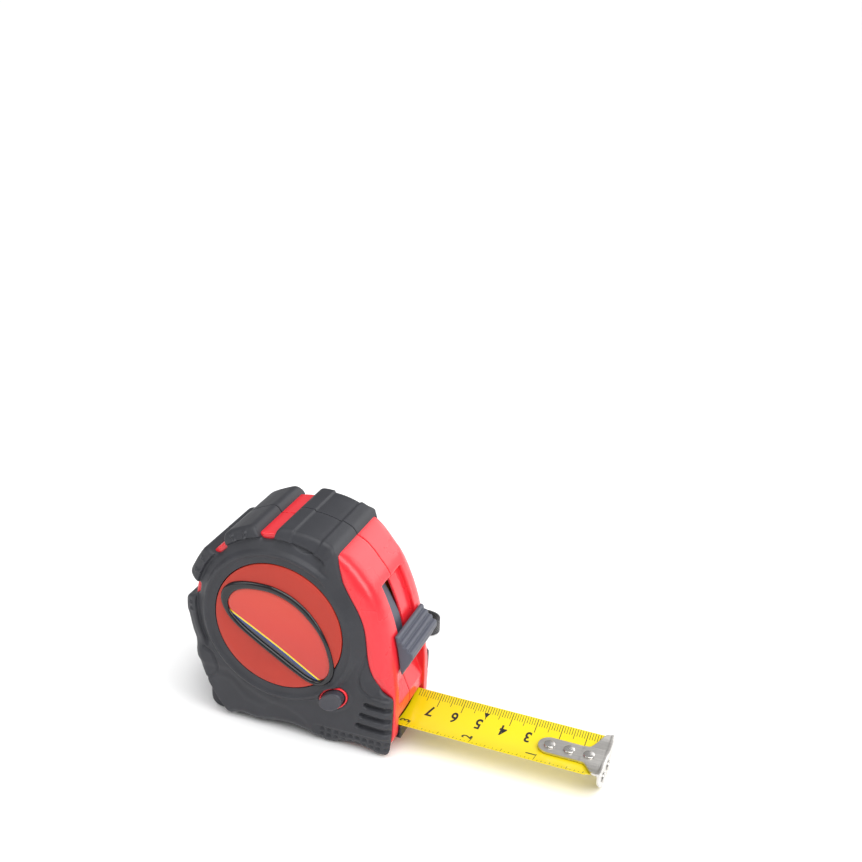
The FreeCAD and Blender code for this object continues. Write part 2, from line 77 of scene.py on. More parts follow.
make_camera()
sc = bpy.context.scene
sc.view_settings.view_transform = "Standard"
sc.view_settings.look = "None"
world = bpy.data.worlds.new("studio")
sc.world = world
world.use_nodes = True
wn = world.node_tree
bg = wn.nodes["Background"]
tcw = wn.nodes.new("ShaderNodeTexCoord")
spw = wn.nodes.new("ShaderNodeSeparateXYZ")
rw = wn.nodes.new("ShaderNodeValToRGB")
rw.color_ramp.elements[0].position, rw.color_ramp.elements[0].color = 0.0, (0.42, 0.42, 0.43, 1)
rw.color_ramp.elements[1].position, rw.color_ramp.elements[1].color = 0.75, (1.0, 1.0, 1.0, 1)
wn.links.new(tcw.outputs["Generated"], spw.inputs[0])
wn.links.new(spw.outputs[2], rw.inputs["Fac"])
wn.links.new(rw.outputs["Color"], bg.inputs[0])
bg.inputs[1].default_value = 0.50


def area(name, loc, target, size, power, color=(1, 1, 1)):
    ld = bpy.data.lights.new(name, "AREA")
    ld.shape = "RECTANGLE"
    ld.size, ld.size_y = size
    ld.energy = power
    ld.color = color
    ob = bpy.data.objects.new(name, ld)
    bpy.context.scene.collection.objects.link(ob)
    ob.location = loc
    ob.rotation_mode = "QUATERNION"
    ob.rotation_quaternion = (Vector(target) - Vector(loc)).to_track_quat("-Z", "Y")
    return ob


sund = bpy.data.lights.new("soft_sun", "SUN")
sund.energy = 2.3
sund.angle = math.radians(55)
sun = bpy.data.objects.new("soft_sun", sund)
bpy.context.scene.collection.objects.link(sun)
sun.rotation_mode = "QUATERNION"
sun.rotation_quaternion = Vector((-0.30, 0.34, -1.0)).to_track_quat("-Z", "Y")
area("front_light", (0.62, -0.20, 0.42), (0.0, 0, 0.04), (0.30, 0.45), 2.0)
area("left_light", (-0.45, -0.42, 0.42), (-0.03, 0, 0.05), (0.18, 0.5), 0.8)
area("back_light", (0.42, 0.72, 0.42), (0.0, 0, 0.05), (0.9, 0.6), 3.6)


# ------------------------------------------------------------------ materials
def new_mat(name):
    m = bpy.data.materials.new(name)
    m.use_nodes = True
    nt = m.node_tree
    return m, nt, nt.nodes["Principled BSDF"]


def add_noise_bump(nt, bsdf, scale, strength, dist=0.0002, detail=3.0, rough=0.55, coord="Object"):
    tc = nt.nodes.new("ShaderNodeTexCoord")
    no = nt.nodes.new("ShaderNodeTexNoise")
    no.inputs["Scale"].default_value = scale
    no.inputs["Detail"].default_value = detail
    no.inputs["Roughness"].default_value = rough
    bp = nt.nodes.new("ShaderNodeBump")
    bp.inputs["Strength"].default_value = strength
    bp.inputs["Distance"].default_value = dist
    nt.links.new(tc.outputs[coord], no.inputs["Vector"])
    nt.links.new(no.outputs["Fac"], bp.inputs["Height"])
    nt.links.new(bp.outputs["Normal"], bsdf.inputs["Normal"])
    return tc, no, bp


def ramp(nt, src, stops):
    r = nt.nodes.new("ShaderNodeValToRGB")
    el = r.color_ramp.elements
    while len(el) > 2:
        el.remove(el[-1])
    for i, (p, c) in enumerate(stops):
        if i < 2:
            el[i].position, el[i].color = p, (*c, 1)
        else:
            q = el.new(p)
            q.color = (*c, 1)
    nt.links.new(src, r.inputs["Fac"])
    return r


def vary(nt, bsdf, base, amount=0.12, scale=60.0, rough=(0.45, 0.6), edge=0.0):
    """colour and gloss that drift a little over the surface, with a painted highlight lightening the convex edges"""
    tc = nt.nodes.new("ShaderNodeTexCoord")
    no = nt.nodes.new("ShaderNodeTexNoise")
    no.inputs["Scale"].default_value = scale
    no.inputs["Detail"].default_value = 4.0
    nt.links.new(tc.outputs["Object"], no.inputs["Vector"])
    b = np.array(base)
    r = ramp(nt, no.outputs["Fac"], [(0.3, tuple(b * (1 - amount))), (0.7, tuple(np.minimum(b * (1 + amount), 1)))])
    out = r.outputs["Color"]
    # painted highlight: convex edges (high pointiness) are lightened in the base colour
    if edge > 0:
        ge = nt.nodes.new("ShaderNodeNewGeometry")
        edge_highlight_ramp = ramp(nt, ge.outputs["Pointiness"], [(0.5, (0, 0, 0)), (0.60, (1, 1, 1))])
        mx = nt.nodes.new("ShaderNodeMix")
        mx.data_type = "RGBA"
        edge_highlight_amount = nt.nodes.new("ShaderNodeMath")
        edge_highlight_amount.operation = "MULTIPLY"
        edge_highlight_amount.inputs[1].default_value = edge
        nt.links.new(edge_highlight_ramp.outputs["Color"], edge_highlight_amount.inputs[0])
        nt.links.new(edge_highlight_amount.outputs[0], mx.inputs["Factor"])
        nt.links.new(out, mx.inputs["A"])
        mx.inputs["B"].default_value = (*tuple(np.minimum(b * 2.0 + 0.03, 1)), 1)
        out = mx.outputs["Result"]
    nt.links.new(out, bsdf.inputs["Base Color"])
    rr = nt.nodes.new("ShaderNodeMapRange")
    rr.inputs["To Min"].default_value, rr.inputs["To Max"].default_value = rough
    nt.links.new(no.outputs["Fac"], rr.inputs["Value"])
    nt.links.new(rr.outputs[0], bsdf.inputs["Roughness"])
    return tc, no


M = {}


def mat_simple(key, base, rough, metallic=0.0, amount=0.08, scale=70.0, bump=None, edge=0.0, coat=0.0,
               coat_rough=0.1, spec=0.5):
    m, nt, b = new_mat(key)
    vary(nt, b, base, amount, scale, rough, edge)
    b.inputs["Metallic"].default_value = metallic
    b.inputs["Specular IOR Level"].default_value = spec
    if coat:
        b.inputs["Coat Weight"].default_value = coat
        b.inputs["Coat Roughness"].default_value = coat_rough
    if bump:
        add_noise_bump(nt, b, *bump)
    M[key] = m
    return m


mat_simple("shell_red_abs", (0.78, 0.020, 0.032), (0.24, 0.32), amount=0.05, scale=40, bump=(2600, 0.05, 0.0001), coat=0.25, coat_rough=0.25)
# edge= paints a highlight along the convex edges of the rubber
mat_simple("grip_rubber_matte", (0.030, 0.031, 0.037), (0.44, 0.56), amount=0.14, scale=90, bump=(3800, 0.14, 0.00012), edge=0.12, spec=0.40)
mat_simple("lip_gloss_black", (0.012, 0.012, 0.014), (0.12, 0.2), amount=0.1, bump=(900, 0.04, 0.0001))
mat_simple("rim_gloss_black", (0.010, 0.010, 0.012), (0.10, 0.18), amount=0.1, bump=(700, 0.03, 0.0001))
mat_simple("label_film_satin", (0.46, 0.034, 0.018), (0.34, 0.42), amount=0.08, scale=50, bump=(1800, 0.04, 0.0001), coat=0.08, coat_rough=0.2, spec=0.3)
mat_simple("screw_zinc", (0.45, 0.45, 0.46), (0.28, 0.42), metallic=1.0, amount=0.12, bump=(1500, 0.1, 0.0001))
mat_simple("spool_abs", (0.70, 0.70, 0.66), (0.4, 0.5), bump=(1500, 0.05, 0.0001))
mat_simple("spring_blue_steel", (0.25, 0.26, 0.29), (0.25, 0.4), metallic=1.0, bump=(1500, 0.08, 0.0001))
mat_simple("rivet_polished", (0.60, 0.585, 0.56), (0.20, 0.30), metallic=1.0, amount=0.08, bump=(900, 0.06, 0.0001))
# edge= paints a highlight along the convex edges of the lock and the button
mat_simple("lock_slate_abs", (0.070, 0.075, 0.100), (0.38, 0.5), amount=0.1, scale=80, bump=(3000, 0.10, 0.0001), edge=0.2)
mat_simple("button_slate_abs", (0.040, 0.041, 0.052), (0.34, 0.45), amount=0.1, scale=80, bump=(3000, 0.08, 0.0001), edge=0.15)
mat_simple("clip_nickel", (0.62, 0.61, 0.59), (0.26, 0.38), metallic=1.0, amount=0.08, scale=50, bump=(1200, 0.08, 0.0001))
mat_simple("print_black", (0.012, 0.012, 0.012), (0.35, 0.45), amount=0.1)
mat_simple("print_red", (0.65, 0.03, 0.02), (0.35, 0.45), amount=0.1)


def mat_brushed(key, base, axis, rough=(0.22, 0.36)):
    """satin metal with fine brushing along one axis"""
    m, nt, b = new_mat(key)
    tc = nt.nodes.new("ShaderNodeTexCoord")
    mp = nt.nodes.new("ShaderNodeMapping")
    s = [1.0, 1.0, 1.0]
    s[axis] = 0.05
    mp.inputs["Scale"].default_value = s
    no = nt.nodes.new("ShaderNodeTexNoise")
    no.inputs["Scale"].default_value = 2600
    no.inputs["Detail"].default_value = 3
    nt.links.new(tc.outputs["Object"], mp.inputs["Vector"])
    nt.links.new(mp.outputs["Vector"], no.inputs["Vector"])
    ba = np.array(base)
    r = ramp(nt, no.outputs["Fac"], [(0.3, tuple(ba * 0.9)), (0.7, tuple(np.minimum(ba * 1.08, 1)))])
    nt.links.new(r.outputs["Color"], b.inputs["Base Color"])
    rr = nt.nodes.new("ShaderNodeMapRange")
    rr.inputs["To Min"].default_value, rr.inputs["To Max"].default_value = rough
    nt.links.new(no.outputs["Fac"], rr.inputs["Value"])
    nt.links.new(rr.outputs[0], b.inputs["Roughness"])
    bp = nt.nodes.new("ShaderNodeBump")
    bp.inputs["Strength"].default_value = 0.12
    bp.inputs["Distance"].default_value = 0.00008
    nt.links.new(no.outputs["Fac"], bp.inputs["Height"])
    nt.links.new(bp.outputs["Normal"], b.inputs["Normal"])
    b.inputs["Metallic"].default_value = 1.0
    M[key] = m


mat_brushed("hook_satin_nickel", (0.64, 0.62, 0.59), 0, (0.26, 0.38))


def mat_blade():
    m, nt, b = new_mat("blade_lacquer")
    vary(nt, b, (0.78, 0.625, 0.003), 0.04, 35.0, (0.24, 0.34))
    b.inputs["Coat Weight"].default_value = 0.35
    b.inputs["Coat Roughness"].default_value = 0.12
    add_noise_bump(nt, b, 1500, 0.03, 0.00008)
    M["blade_lacquer"] = m


mat_blade()


def mat_dome():
    """glossy domed film, red lightening to warm orange towards the top as painted light from above, with a thin yellow
    line and a dark blue band along its lower side
    """
    m, nt, b = new_mat("dome_film_gloss")
    tc = nt.nodes.new("ShaderNodeTexCoord")
    sp = nt.nodes.new("ShaderNodeSeparateXYZ")
    nt.links.new(tc.outputs["Object"], sp.inputs[0])
    ox, oz = row((0, 0, CZ))[0], row((0, 0, CZ))[2]

    def math_node(op, a, bb=None):
        n = nt.nodes.new("ShaderNodeMath")
        n.operation = op
        for i, v in enumerate((a, bb)):
            if v is None:
                continue
            if isinstance(v, (int, float)):
                n.inputs[i].default_value = v
            else:
                nt.links.new(v, n.inputs[i])
        return n.outputs[0]

    # signed distance from a faintly bent line that runs along the lower side
    dx = math_node("SUBTRACT", sp.outputs[0], ox - 0.0030)
    dz = math_node("SUBTRACT", sp.outputs[2], oz - 0.0061)
    along = math_node("ADD", math_node("MULTIPLY", dx, 0.871), math_node("MULTIPLY", dz, -0.491))
    off = math_node("ADD", math_node("MULTIPLY", dx, 0.491), math_node("MULTIPLY", dz, 0.871))
    t = math_node("MULTIPLY", math_node("ADD", off, math_node("MULTIPLY", math_node("MULTIPLY", along, along), 1.6)), -1.0)
    t2 = math_node("ADD", math_node("MULTIPLY", t, 100.0), 0.5)       # 10 mm to 1
    no = nt.nodes.new("ShaderNodeTexNoise")
    no.inputs["Scale"].default_value = 45
    nt.links.new(tc.outputs["Object"], no.inputs["Vector"])
    # painted light from above: the red lightens and warms towards the top of the dome
    g = math_node("ADD", math_node("MULTIPLY", math_node("SUBTRACT", sp.outputs[2], oz), 16.0),
                  math_node("ADD", 0.45, math_node("MULTIPLY", no.outputs["Fac"], 0.12)))
    base = ramp(nt, g, [(0.0, (0.46, 0.014, 0.008)), (0.5, (0.60, 0.026, 0.010)), (1.0, (0.66, 0.050, 0.014))])
    band = ramp(nt, t2, [(0.0, (0, 0, 0)), (0.499, (0, 0, 0)), (0.502, (1, 1, 1))])
    blue = ramp(nt, t2, [(0.5, (0.86, 0.66, 0.005)), (0.568, (0.86, 0.66, 0.005)), (0.572, (0.004, 0.03, 0.24)),
                         (0.66, (0.012, 0.03, 0.12)), (0.74, (0.012, 0.012, 0.02))])
    mx = nt.nodes.new("ShaderNodeMix")
    mx.data_type = "RGBA"
    nt.links.new(band.outputs["Color"], mx.inputs["Factor"])
    nt.links.new(base.outputs["Color"], mx.inputs["A"])
    nt.links.new(blue.outputs["Color"], mx.inputs["B"])
    nt.links.new(mx.outputs["Result"], b.inputs["Base Color"])
    b.inputs["Roughness"].default_value = 0.22
    b.inputs["Coat Weight"].default_value = 0.5
    b.inputs["Coat Roughness"].default_value = 0.05
    M["dome_film_gloss"] = m


mat_dome()


def mat_strap():
    m, nt, b = new_mat("strap_woven")
    tc = nt.nodes.new("ShaderNodeTexCoord")
    wv = nt.nodes.new("ShaderNodeTexWave")
    wv.inputs["Scale"].default_value = 420
    wv.inputs["Distortion"].default_value = 1.5
    wv.bands_direction = "DIAGONAL"
    nt.links.new(tc.outputs["Object"], wv.inputs["Vector"])
    r = ramp(nt, wv.outputs["Fac"], [(0.2, (0.014, 0.014, 0.016)), (0.8, (0.034, 0.034, 0.038))])
    nt.links.new(r.outputs["Color"], b.inputs["Base Color"])
    b.inputs["Roughness"].default_value = 0.55
    b.inputs["Sheen Weight"].default_value = 0.25
    bp = nt.nodes.new("ShaderNodeBump")
    bp.inputs["Strength"].default_value = 0.35
    bp.inputs["Distance"].default_value = 0.00015
    nt.links.new(wv.outputs["Fac"], bp.inputs["Height"])
    nt.links.new(bp.outputs["Normal"], b.inputs["Normal"])
    M["strap_woven"] = m


mat_strap()


def mat_floor():
    m, nt, b = new_mat("floor_white")
    b.inputs["Base Color"].default_value = (0.93, 0.93, 0.93, 1)
    b.inputs["Roughness"].default_value = 0.9
    b.inputs["Specular IOR Level"].default_value = 0.1
    return m


bpy.ops.mesh.primitive_plane_add(size=40.0, location=(0, 0, float(OFF[2]) / 1000.0 - 0.00002))
floor = bpy.context.object
floor.name = "floor"
floor.data.materials.append(mat_floor())


# ------------------------------------------------------------------ mesh helpers
def mesh_piece(name, verts_mm, faces, mat, body, replaces=(), smooth=True):
    v = row(np.asarray(verts_mm, float))
    me = bpy.data.meshes.new(name)
    f = np.asarray(faces) if not isinstance(faces, list) else None
    if f is not None and f.ndim == 2:
        n, k = f.shape
        me.vertices.add(len(v))
        me.vertices.foreach_set("co", v.astype(np.float32).ravel())
        me.loops.add(n * k)
        me.loops.foreach_set("vertex_index", f.astype(np.int32).ravel())
        me.polygons.add(n)
        me.polygons.foreach_set("loop_start", np.arange(0, n * k, k, dtype=np.int32))
        me.polygons.foreach_set("loop_total", np.full(n, k, np.int32))
    else:
        me.from_pydata([tuple(p) for p in v], [], [tuple(q) for q in faces])
    me.update(calc_edges=True)
    me.validate()
    if smooth:
        me.polygons.foreach_set("use_smooth", np.ones(len(me.polygons), bool))
        me.set_sharp_from_angle(angle=math.radians(42))
    ob = bpy.data.objects.new(name, me)
    bpy.context.scene.collection.objects.link(ob)
    me.materials.append(mat)
    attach(ob, body)
    if replaces:
        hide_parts(*replaces)
    return ob


def apply_mods(ob):
    dg = bpy.context.evaluated_depsgraph_get()
    me = bpy.data.meshes.new_from_object(ob.evaluated_get(dg))
    ob.modifiers.clear()
    ob.data = me


def thin_out(ob, target=130000):
    n = sum(len(p.vertices) - 2 for p in ob.data.polygons)
    if n > target:
        md = ob.modifiers.new("thin", "DECIMATE")
        md.ratio = target / n
        apply_mods(ob)
        ob.data.polygons.foreach_set("use_smooth", np.ones(len(ob.data.polygons), bool))
        ob.data.set_sharp_from_angle(angle=math.radians(42))


def catmull(P, n=5):
    P = np.asarray(P, float)
    m = len(P)
    out = []
    for i in range(m):
        p0, p1, p2, p3 = P[i - 1], P[i], P[(i + 1) % m], P[(i + 2) % m]
        for k in range(n):
            t = k / n
            # uniform Catmull-Rom blend through the points
            out.append(0.5 * ((2 * p1) + (-p0 + p2) * t + (2 * p0 - 5 * p1 + 4 * p2 - p3) * t * t
                              + (-p0 + 3 * p1 - 3 * p2 + p3) * t ** 3))
    return np.array(out)


def resample(P, step):
    P = np.asarray(P, float)
    Q = np.vstack([P, P[:1]])
    d = np.r_[0, np.cumsum(np.linalg.norm(np.diff(Q, axis=0), axis=1))]
    n = max(8, int(d[-1] / step))
    t = np.linspace(0, d[-1], n, endpoint=False)
    return np.stack([np.interp(t, d, Q[:, 0]), np.interp(t, d, Q[:, 1])], 1)


def soften(P, it=2, w=0.5):
    for _ in range(it):
        P = (1 - w) * P + w * 0.5 * (np.roll(P, 1, 0) + np.roll(P, -1, 0))
    return P


def poly_sdf(P, X, Z):
    """signed distance to a closed outline, negative inside"""
    P = np.asarray(P, np.float32)
    X = X.astype(np.float32)
    Z = Z.astype(np.float32)
    d = np.full(X.shape, 1e12, np.float32)
    s = np.ones(X.shape, np.float32)
    m = len(P)
    for i in range(m):
        a, b = P[i], P[i - 1]
        ex, ez = b[0] - a[0], b[1] - a[1]
        wx, wz = X - a[0], Z - a[1]
        t = np.clip((wx * ex + wz * ez) / max(ex * ex + ez * ez, 1e-12), 0, 1)
        bx, bz = wx - ex * t, wz - ez * t
        d = np.minimum(d, bx * bx + bz * bz)
        c1, c2, c3 = Z >= a[1], Z < b[1], ex * wz > ez * wx
        flip = (c1 & c2 & c3) | (~c1 & ~c2 & ~c3)
        s[flip] *= -1
    return s * np.sqrt(d)


def line_dist(pts, X, Z):
    d = np.full(X.shape, 1e9, np.float32)
    for a, b in zip(pts[:-1], pts[1:]):
        ex, ez = b[0] - a[0], b[1] - a[1]
        t = np.clip(((X - a[0]) * ex + (Z - a[1]) * ez) / (ex * ex + ez * ez), 0, 1)
        d = np.minimum(d, np.hypot(X - a[0] - ex * t, Z - a[1] - ez * t))
    return d


def sst(a, b, x):
    t = np.clip((x - a) / (b - a), 0, 1)
    return t * t * (3 - 2 * t)


def smax(a, b, k):
    h = np.maximum(k - np.abs(a - b), 0) / k
    return np.maximum(a, b) + h * h * k * 0.25


def smin(a, b, k):
    h = np.maximum(k - np.abs(a - b), 0) / k
    return np.minimum(a, b) - h * h * k * 0.25


def nets(F, lo, h):
    """surface nets: a quad mesh of the zero level, negative inside"""
    F = F.astype(np.float32)
    S = F < 0
    nx, ny, nz = F.shape
    cnt = np.zeros((nx - 1, ny - 1, nz - 1), np.int8)
    corners = [(i, j, k) for i in (0, 1) for j in (0, 1) for k in (0, 1)]
    for i, j, k in corners:
        cnt += S[i:nx - 1 + i, j:ny - 1 + j, k:nz - 1 + k]
    mixed = (cnt > 0) & (cnt < 8)
    I, J, K = np.nonzero(mixed)
    vals = np.stack([F[I + i, J + j, K + k] for i, j, k in corners], 1)
    pos = np.zeros((len(I), 3))
    num = np.zeros(len(I))
    for a in range(8):
        for b in range(a + 1, 8):
            ca, cb = np.array(corners[a]), np.array(corners[b])
            if np.abs(ca - cb).sum() != 1:
                continue
            va, vb = vals[:, a], vals[:, b]
            cr = (va < 0) != (vb < 0)
            t = va[cr] / (va[cr] - vb[cr])
            pos[cr] += ca + t[:, None] * (cb - ca)
            num[cr] += 1
    pos /= num[:, None]
    for _ in range(3):
        u, v, w = pos[:, 0], pos[:, 1], pos[:, 2]
        val = np.zeros(len(I))
        g = np.zeros((len(I), 3))
        for n_, (i, j, k) in enumerate(corners):
            fu, fv, fw = (u if i else 1 - u), (v if j else 1 - v), (w if k else 1 - w)
            c = vals[:, n_]
            val += c * fu * fv * fw
            g[:, 0] += c * (1 if i else -1) * fv * fw
            g[:, 1] += c * (1 if j else -1) * fu * fw
            g[:, 2] += c * (1 if k else -1) * fu * fv
        st = val / np.maximum((g * g).sum(1), 1e-6)
        pos -= np.clip(st[:, None] * g, -0.35, 0.35)
        pos = np.clip(pos, -0.15, 1.15)
    V = (np.stack([I, J, K], 1) + pos) * h + np.asarray(lo)
    vid = np.full(mixed.shape, -1, np.int32)
    vid[I, J, K] = np.arange(len(I))
    faces = []
    for ax in range(3):
        sl0 = [slice(None)] * 3
        sl1 = [slice(None)] * 3
        sl0[ax], sl1[ax] = slice(0, -1), slice(1, None)
        A, B = S[tuple(sl0)], S[tuple(sl1)]
        o1, o2 = [a for a in range(3) if a != ax]
        ch = A != B
        inner = np.zeros_like(ch)
        q = [slice(None)] * 3
        q[o1], q[o2] = slice(1, -1), slice(1, -1)
        inner[tuple(q)] = True
        E = np.stack(np.nonzero(ch & inner), 1)
        if not len(E):
            continue
        d1, d2 = np.zeros(3, int), np.zeros(3, int)
        d1[o1], d2[o2] = 1, 1
        c = [E - d1 - d2, E - d2, E, E - d1]
        ids = np.stack([vid[p[:, 0], p[:, 1], p[:, 2]] for p in c], 1)
        flip = A[E[:, 0], E[:, 1], E[:, 2]]
        if ax == 1:
            flip = ~flip
        ids[~flip] = ids[~flip][:, ::-1]
        faces.append(ids)
    return V, np.vstack(faces)


def grid3(lo, hi, h):
    ax = [np.arange(a, b + h, h, dtype=np.float32) for a, b in zip(lo, hi)]
    return ax


# ------------------------------------------------------------------ side outlines
def arc(cx, cz, r, a0, a1, n):
    return [(cx + r * math.cos(math.radians(a0 + (a1 - a0) * i / n)),
             cz + r * math.sin(math.radians(a0 + (a1 - a0) * i / n))) for i in range(n + 1)]


def front_pt(r, deg):
    return (FCX + r * math.cos(math.radians(deg)), FCZ + r * math.sin(math.radians(deg)))


SHELL = ([(-29.5, 5.0), (42.0, 5.0), (45.2, 5.6), (46.9, 9.0), (47.0, 18.0), (46.8, 27.0)] + [front_pt(FR, a) for a in (3, 6, 9, 12, 15, 18, 21, 24, 27)] +
         [(34.8, 72.9), (32.5, 75.5), (30.2, 78.4), (27.6, 81.0), (25.3, 82.5), (22.9, 83.6), (19.6, 84.4)] +
         arc(0, CZ, 38.4, 62, 90, 8) + arc(0, CZ, 37.5, 93, 194, 28) +
         [(-35.0, 33.0), (-34.0, 24.0), (-32.4, 15.0), (-31.6, 7.5)])
GRIP = [(-33.7, 3.3), (-32.6, 1.4), (-30.6, 0.2), (-29.6, 0.0), (-25.6, 0.0), (-24.2, 0.6),
        (-21.3, 2.2), (-17.4, 2.9), (-14.2, 2.5), (-10.9, 2.0), (-7.7, 2.6), (-2.6, 3.6),
        (3.9, 4.1), (10.4, 3.2), (15.7, 1.3), (18.4, 0.1), (19.0, 0.0), (21.2, 0.0),
        (22.8, 0.7), (25.4, 1.9), (29.9, 2.6), (33.8, 2.3), (37.8, 1.2), (40.6, 0.1),
        (41.4, 0.0), (44.4, 0.0), (45.8, 0.8), (46.6, 2.2), (46.8, 7.8), (47.1, 14.3),
        (47.3, 22.1), (47.3, 27.6), (46.5, 28.3), (44.6, 28.4), (40.9, 30.7), (38.7, 34.4),
        (36.7, 39.5), (35.9, 44.6), (35.5, 51.1), (34.9, 56.2), (33.2, 60.6), (30.6, 65.6),
        (27.8, 69.3), (25.8, 72.1), (25.1, 74.9), (24.2, 78.1), (23.3, 81.3), (22.7, 83.9),
        (21.4, 86.0), (20.7, 86.6), (14.7, 89.1), (11.5, 89.9), (8.8, 90.3), (4.2, 90.5),
        (0.3, 90.4), (-1.2, 89.6), (-1.9, 87.9), (-2.3, 85.6)]
GRIP += arc(0, CZ, 35.2, 94.8, 102.6, 3)
GRIP += [(-9.0, 86.4), (-10.5, 88.3), (-11.9, 88.9), (-18.1, 86.1), (-21.3, 84.4),
         (-23.1, 83.0), (-23.9, 81.8), (-23.2, 79.6)]
GRIP += arc(0, CZ, 35.2, 129.0, 138.0, 3)
GRIP += [(-29.2, 74.2), (-31.0, 75.1), (-32.6, 74.5), (-33.6, 73.2), (-36.0, 69.3),
         (-38.5, 64.6), (-39.3, 62.9), (-38.9, 61.6), (-36.6, 60.0)]
GRIP += arc(0, CZ, 35.2, 165.0, 172.0, 3)
GRIP += [(-37.9, 52.7), (-40.4, 51.7), (-41.6, 50.7), (-41.8, 46.9), (-41.8, 44.5),
         (-40.9, 43.8), (-40.4, 40.5), (-39.5, 36.0), (-38.1, 31.6), (-37.0, 24.7),
         (-36.1, 23.9), (-35.9, 21.3), (-34.6, 16.3), (-34.0, 15.0), (-33.8, 8.5)]
RIM_OUT = [(-23.7, 54.6), (-23.7, 59.2), (-21.7, 62.5), (-18.0, 65.1), (-12.2, 66.6),
           (-5.8, 67.0), (-0.6, 66.6), (6.1, 64.5), (12.2, 60.4), (17.1, 54.9), (20.8, 48.1),
           (22.9, 41.7), (23.6, 36.6), (22.6, 32.0), (20.2, 29.2), (17.1, 28.0), (13.8, 28.1),
           (9.9, 29.5), (3.1, 33.2), (-3.7, 37.2), (-10.4, 41.3), (-16.6, 45.4), (-20.9, 49.4)]
RIM_IN = [(-20.9, 54.2), (-20.3, 57.5), (-17.7, 60.9), (-13.3, 63.0), (-7.5, 63.9), (-1.7, 63.8),
          (4.3, 62.1), (9.7, 58.9), (15.3, 53.5), (18.9, 47.9), (21.0, 41.6), (21.5, 37.1),
          (20.6, 33.5), (18.5, 31.0), (15.3, 29.9), (11.7, 30.9), (5.7, 34.2), (-1.1, 38.2),
          (-7.9, 42.2), (-14.0, 46.2), (-18.8, 50.4)]
BTN = (23.2, 23.7, math.radians(35.5))


def oval_d(X, Z, a, b):
    """approximate distance outside an ellipse round the button"""
    t = BTN[2]
    u = (X - BTN[0]) * math.cos(t) + (Z - BTN[1]) * math.sin(t)
    v = -(X - BTN[0]) * math.sin(t) + (Z - BTN[1]) * math.cos(t)
    k = np.sqrt((u / a) ** 2 + (v / b) ** 2) + 1e-6
    g = np.sqrt((u / a ** 2) ** 2 + (v / b ** 2) ** 2) + 1e-6
    return k * (k - 1) / g


def plan(h):
    xs = np.arange(-43.5, 50.0 + h, h, dtype=np.float32)
    zs = np.arange(-1.2, 92.4 + h, h, dtype=np.float32)
    X, Z = np.meshgrid(xs, zs, indexing="ij")
    return xs, zs, X, Z


def grip_outline():
    """the rubber's outline, with the long edge beside the red front faired into one sweep"""
    G = np.array(GRIP)
    G[:, 0] = np.where((G[:, 0] > 45.5) & (G[:, 1] < 29), G[:, 0] - 0.75, G[:, 0])
    P = resample(G, 0.7)
    Q = soften(P, 3, 0.5)
    R = soften(P, 60, 0.5)
    w = sst(24.0, 27.0, P[:, 0]) * sst(29.5, 32.0, P[:, 1]) * (1 - sst(72.0, 75.0, P[:, 1]))
    return Q * (1 - w[:, None]) + R * w[:, None]


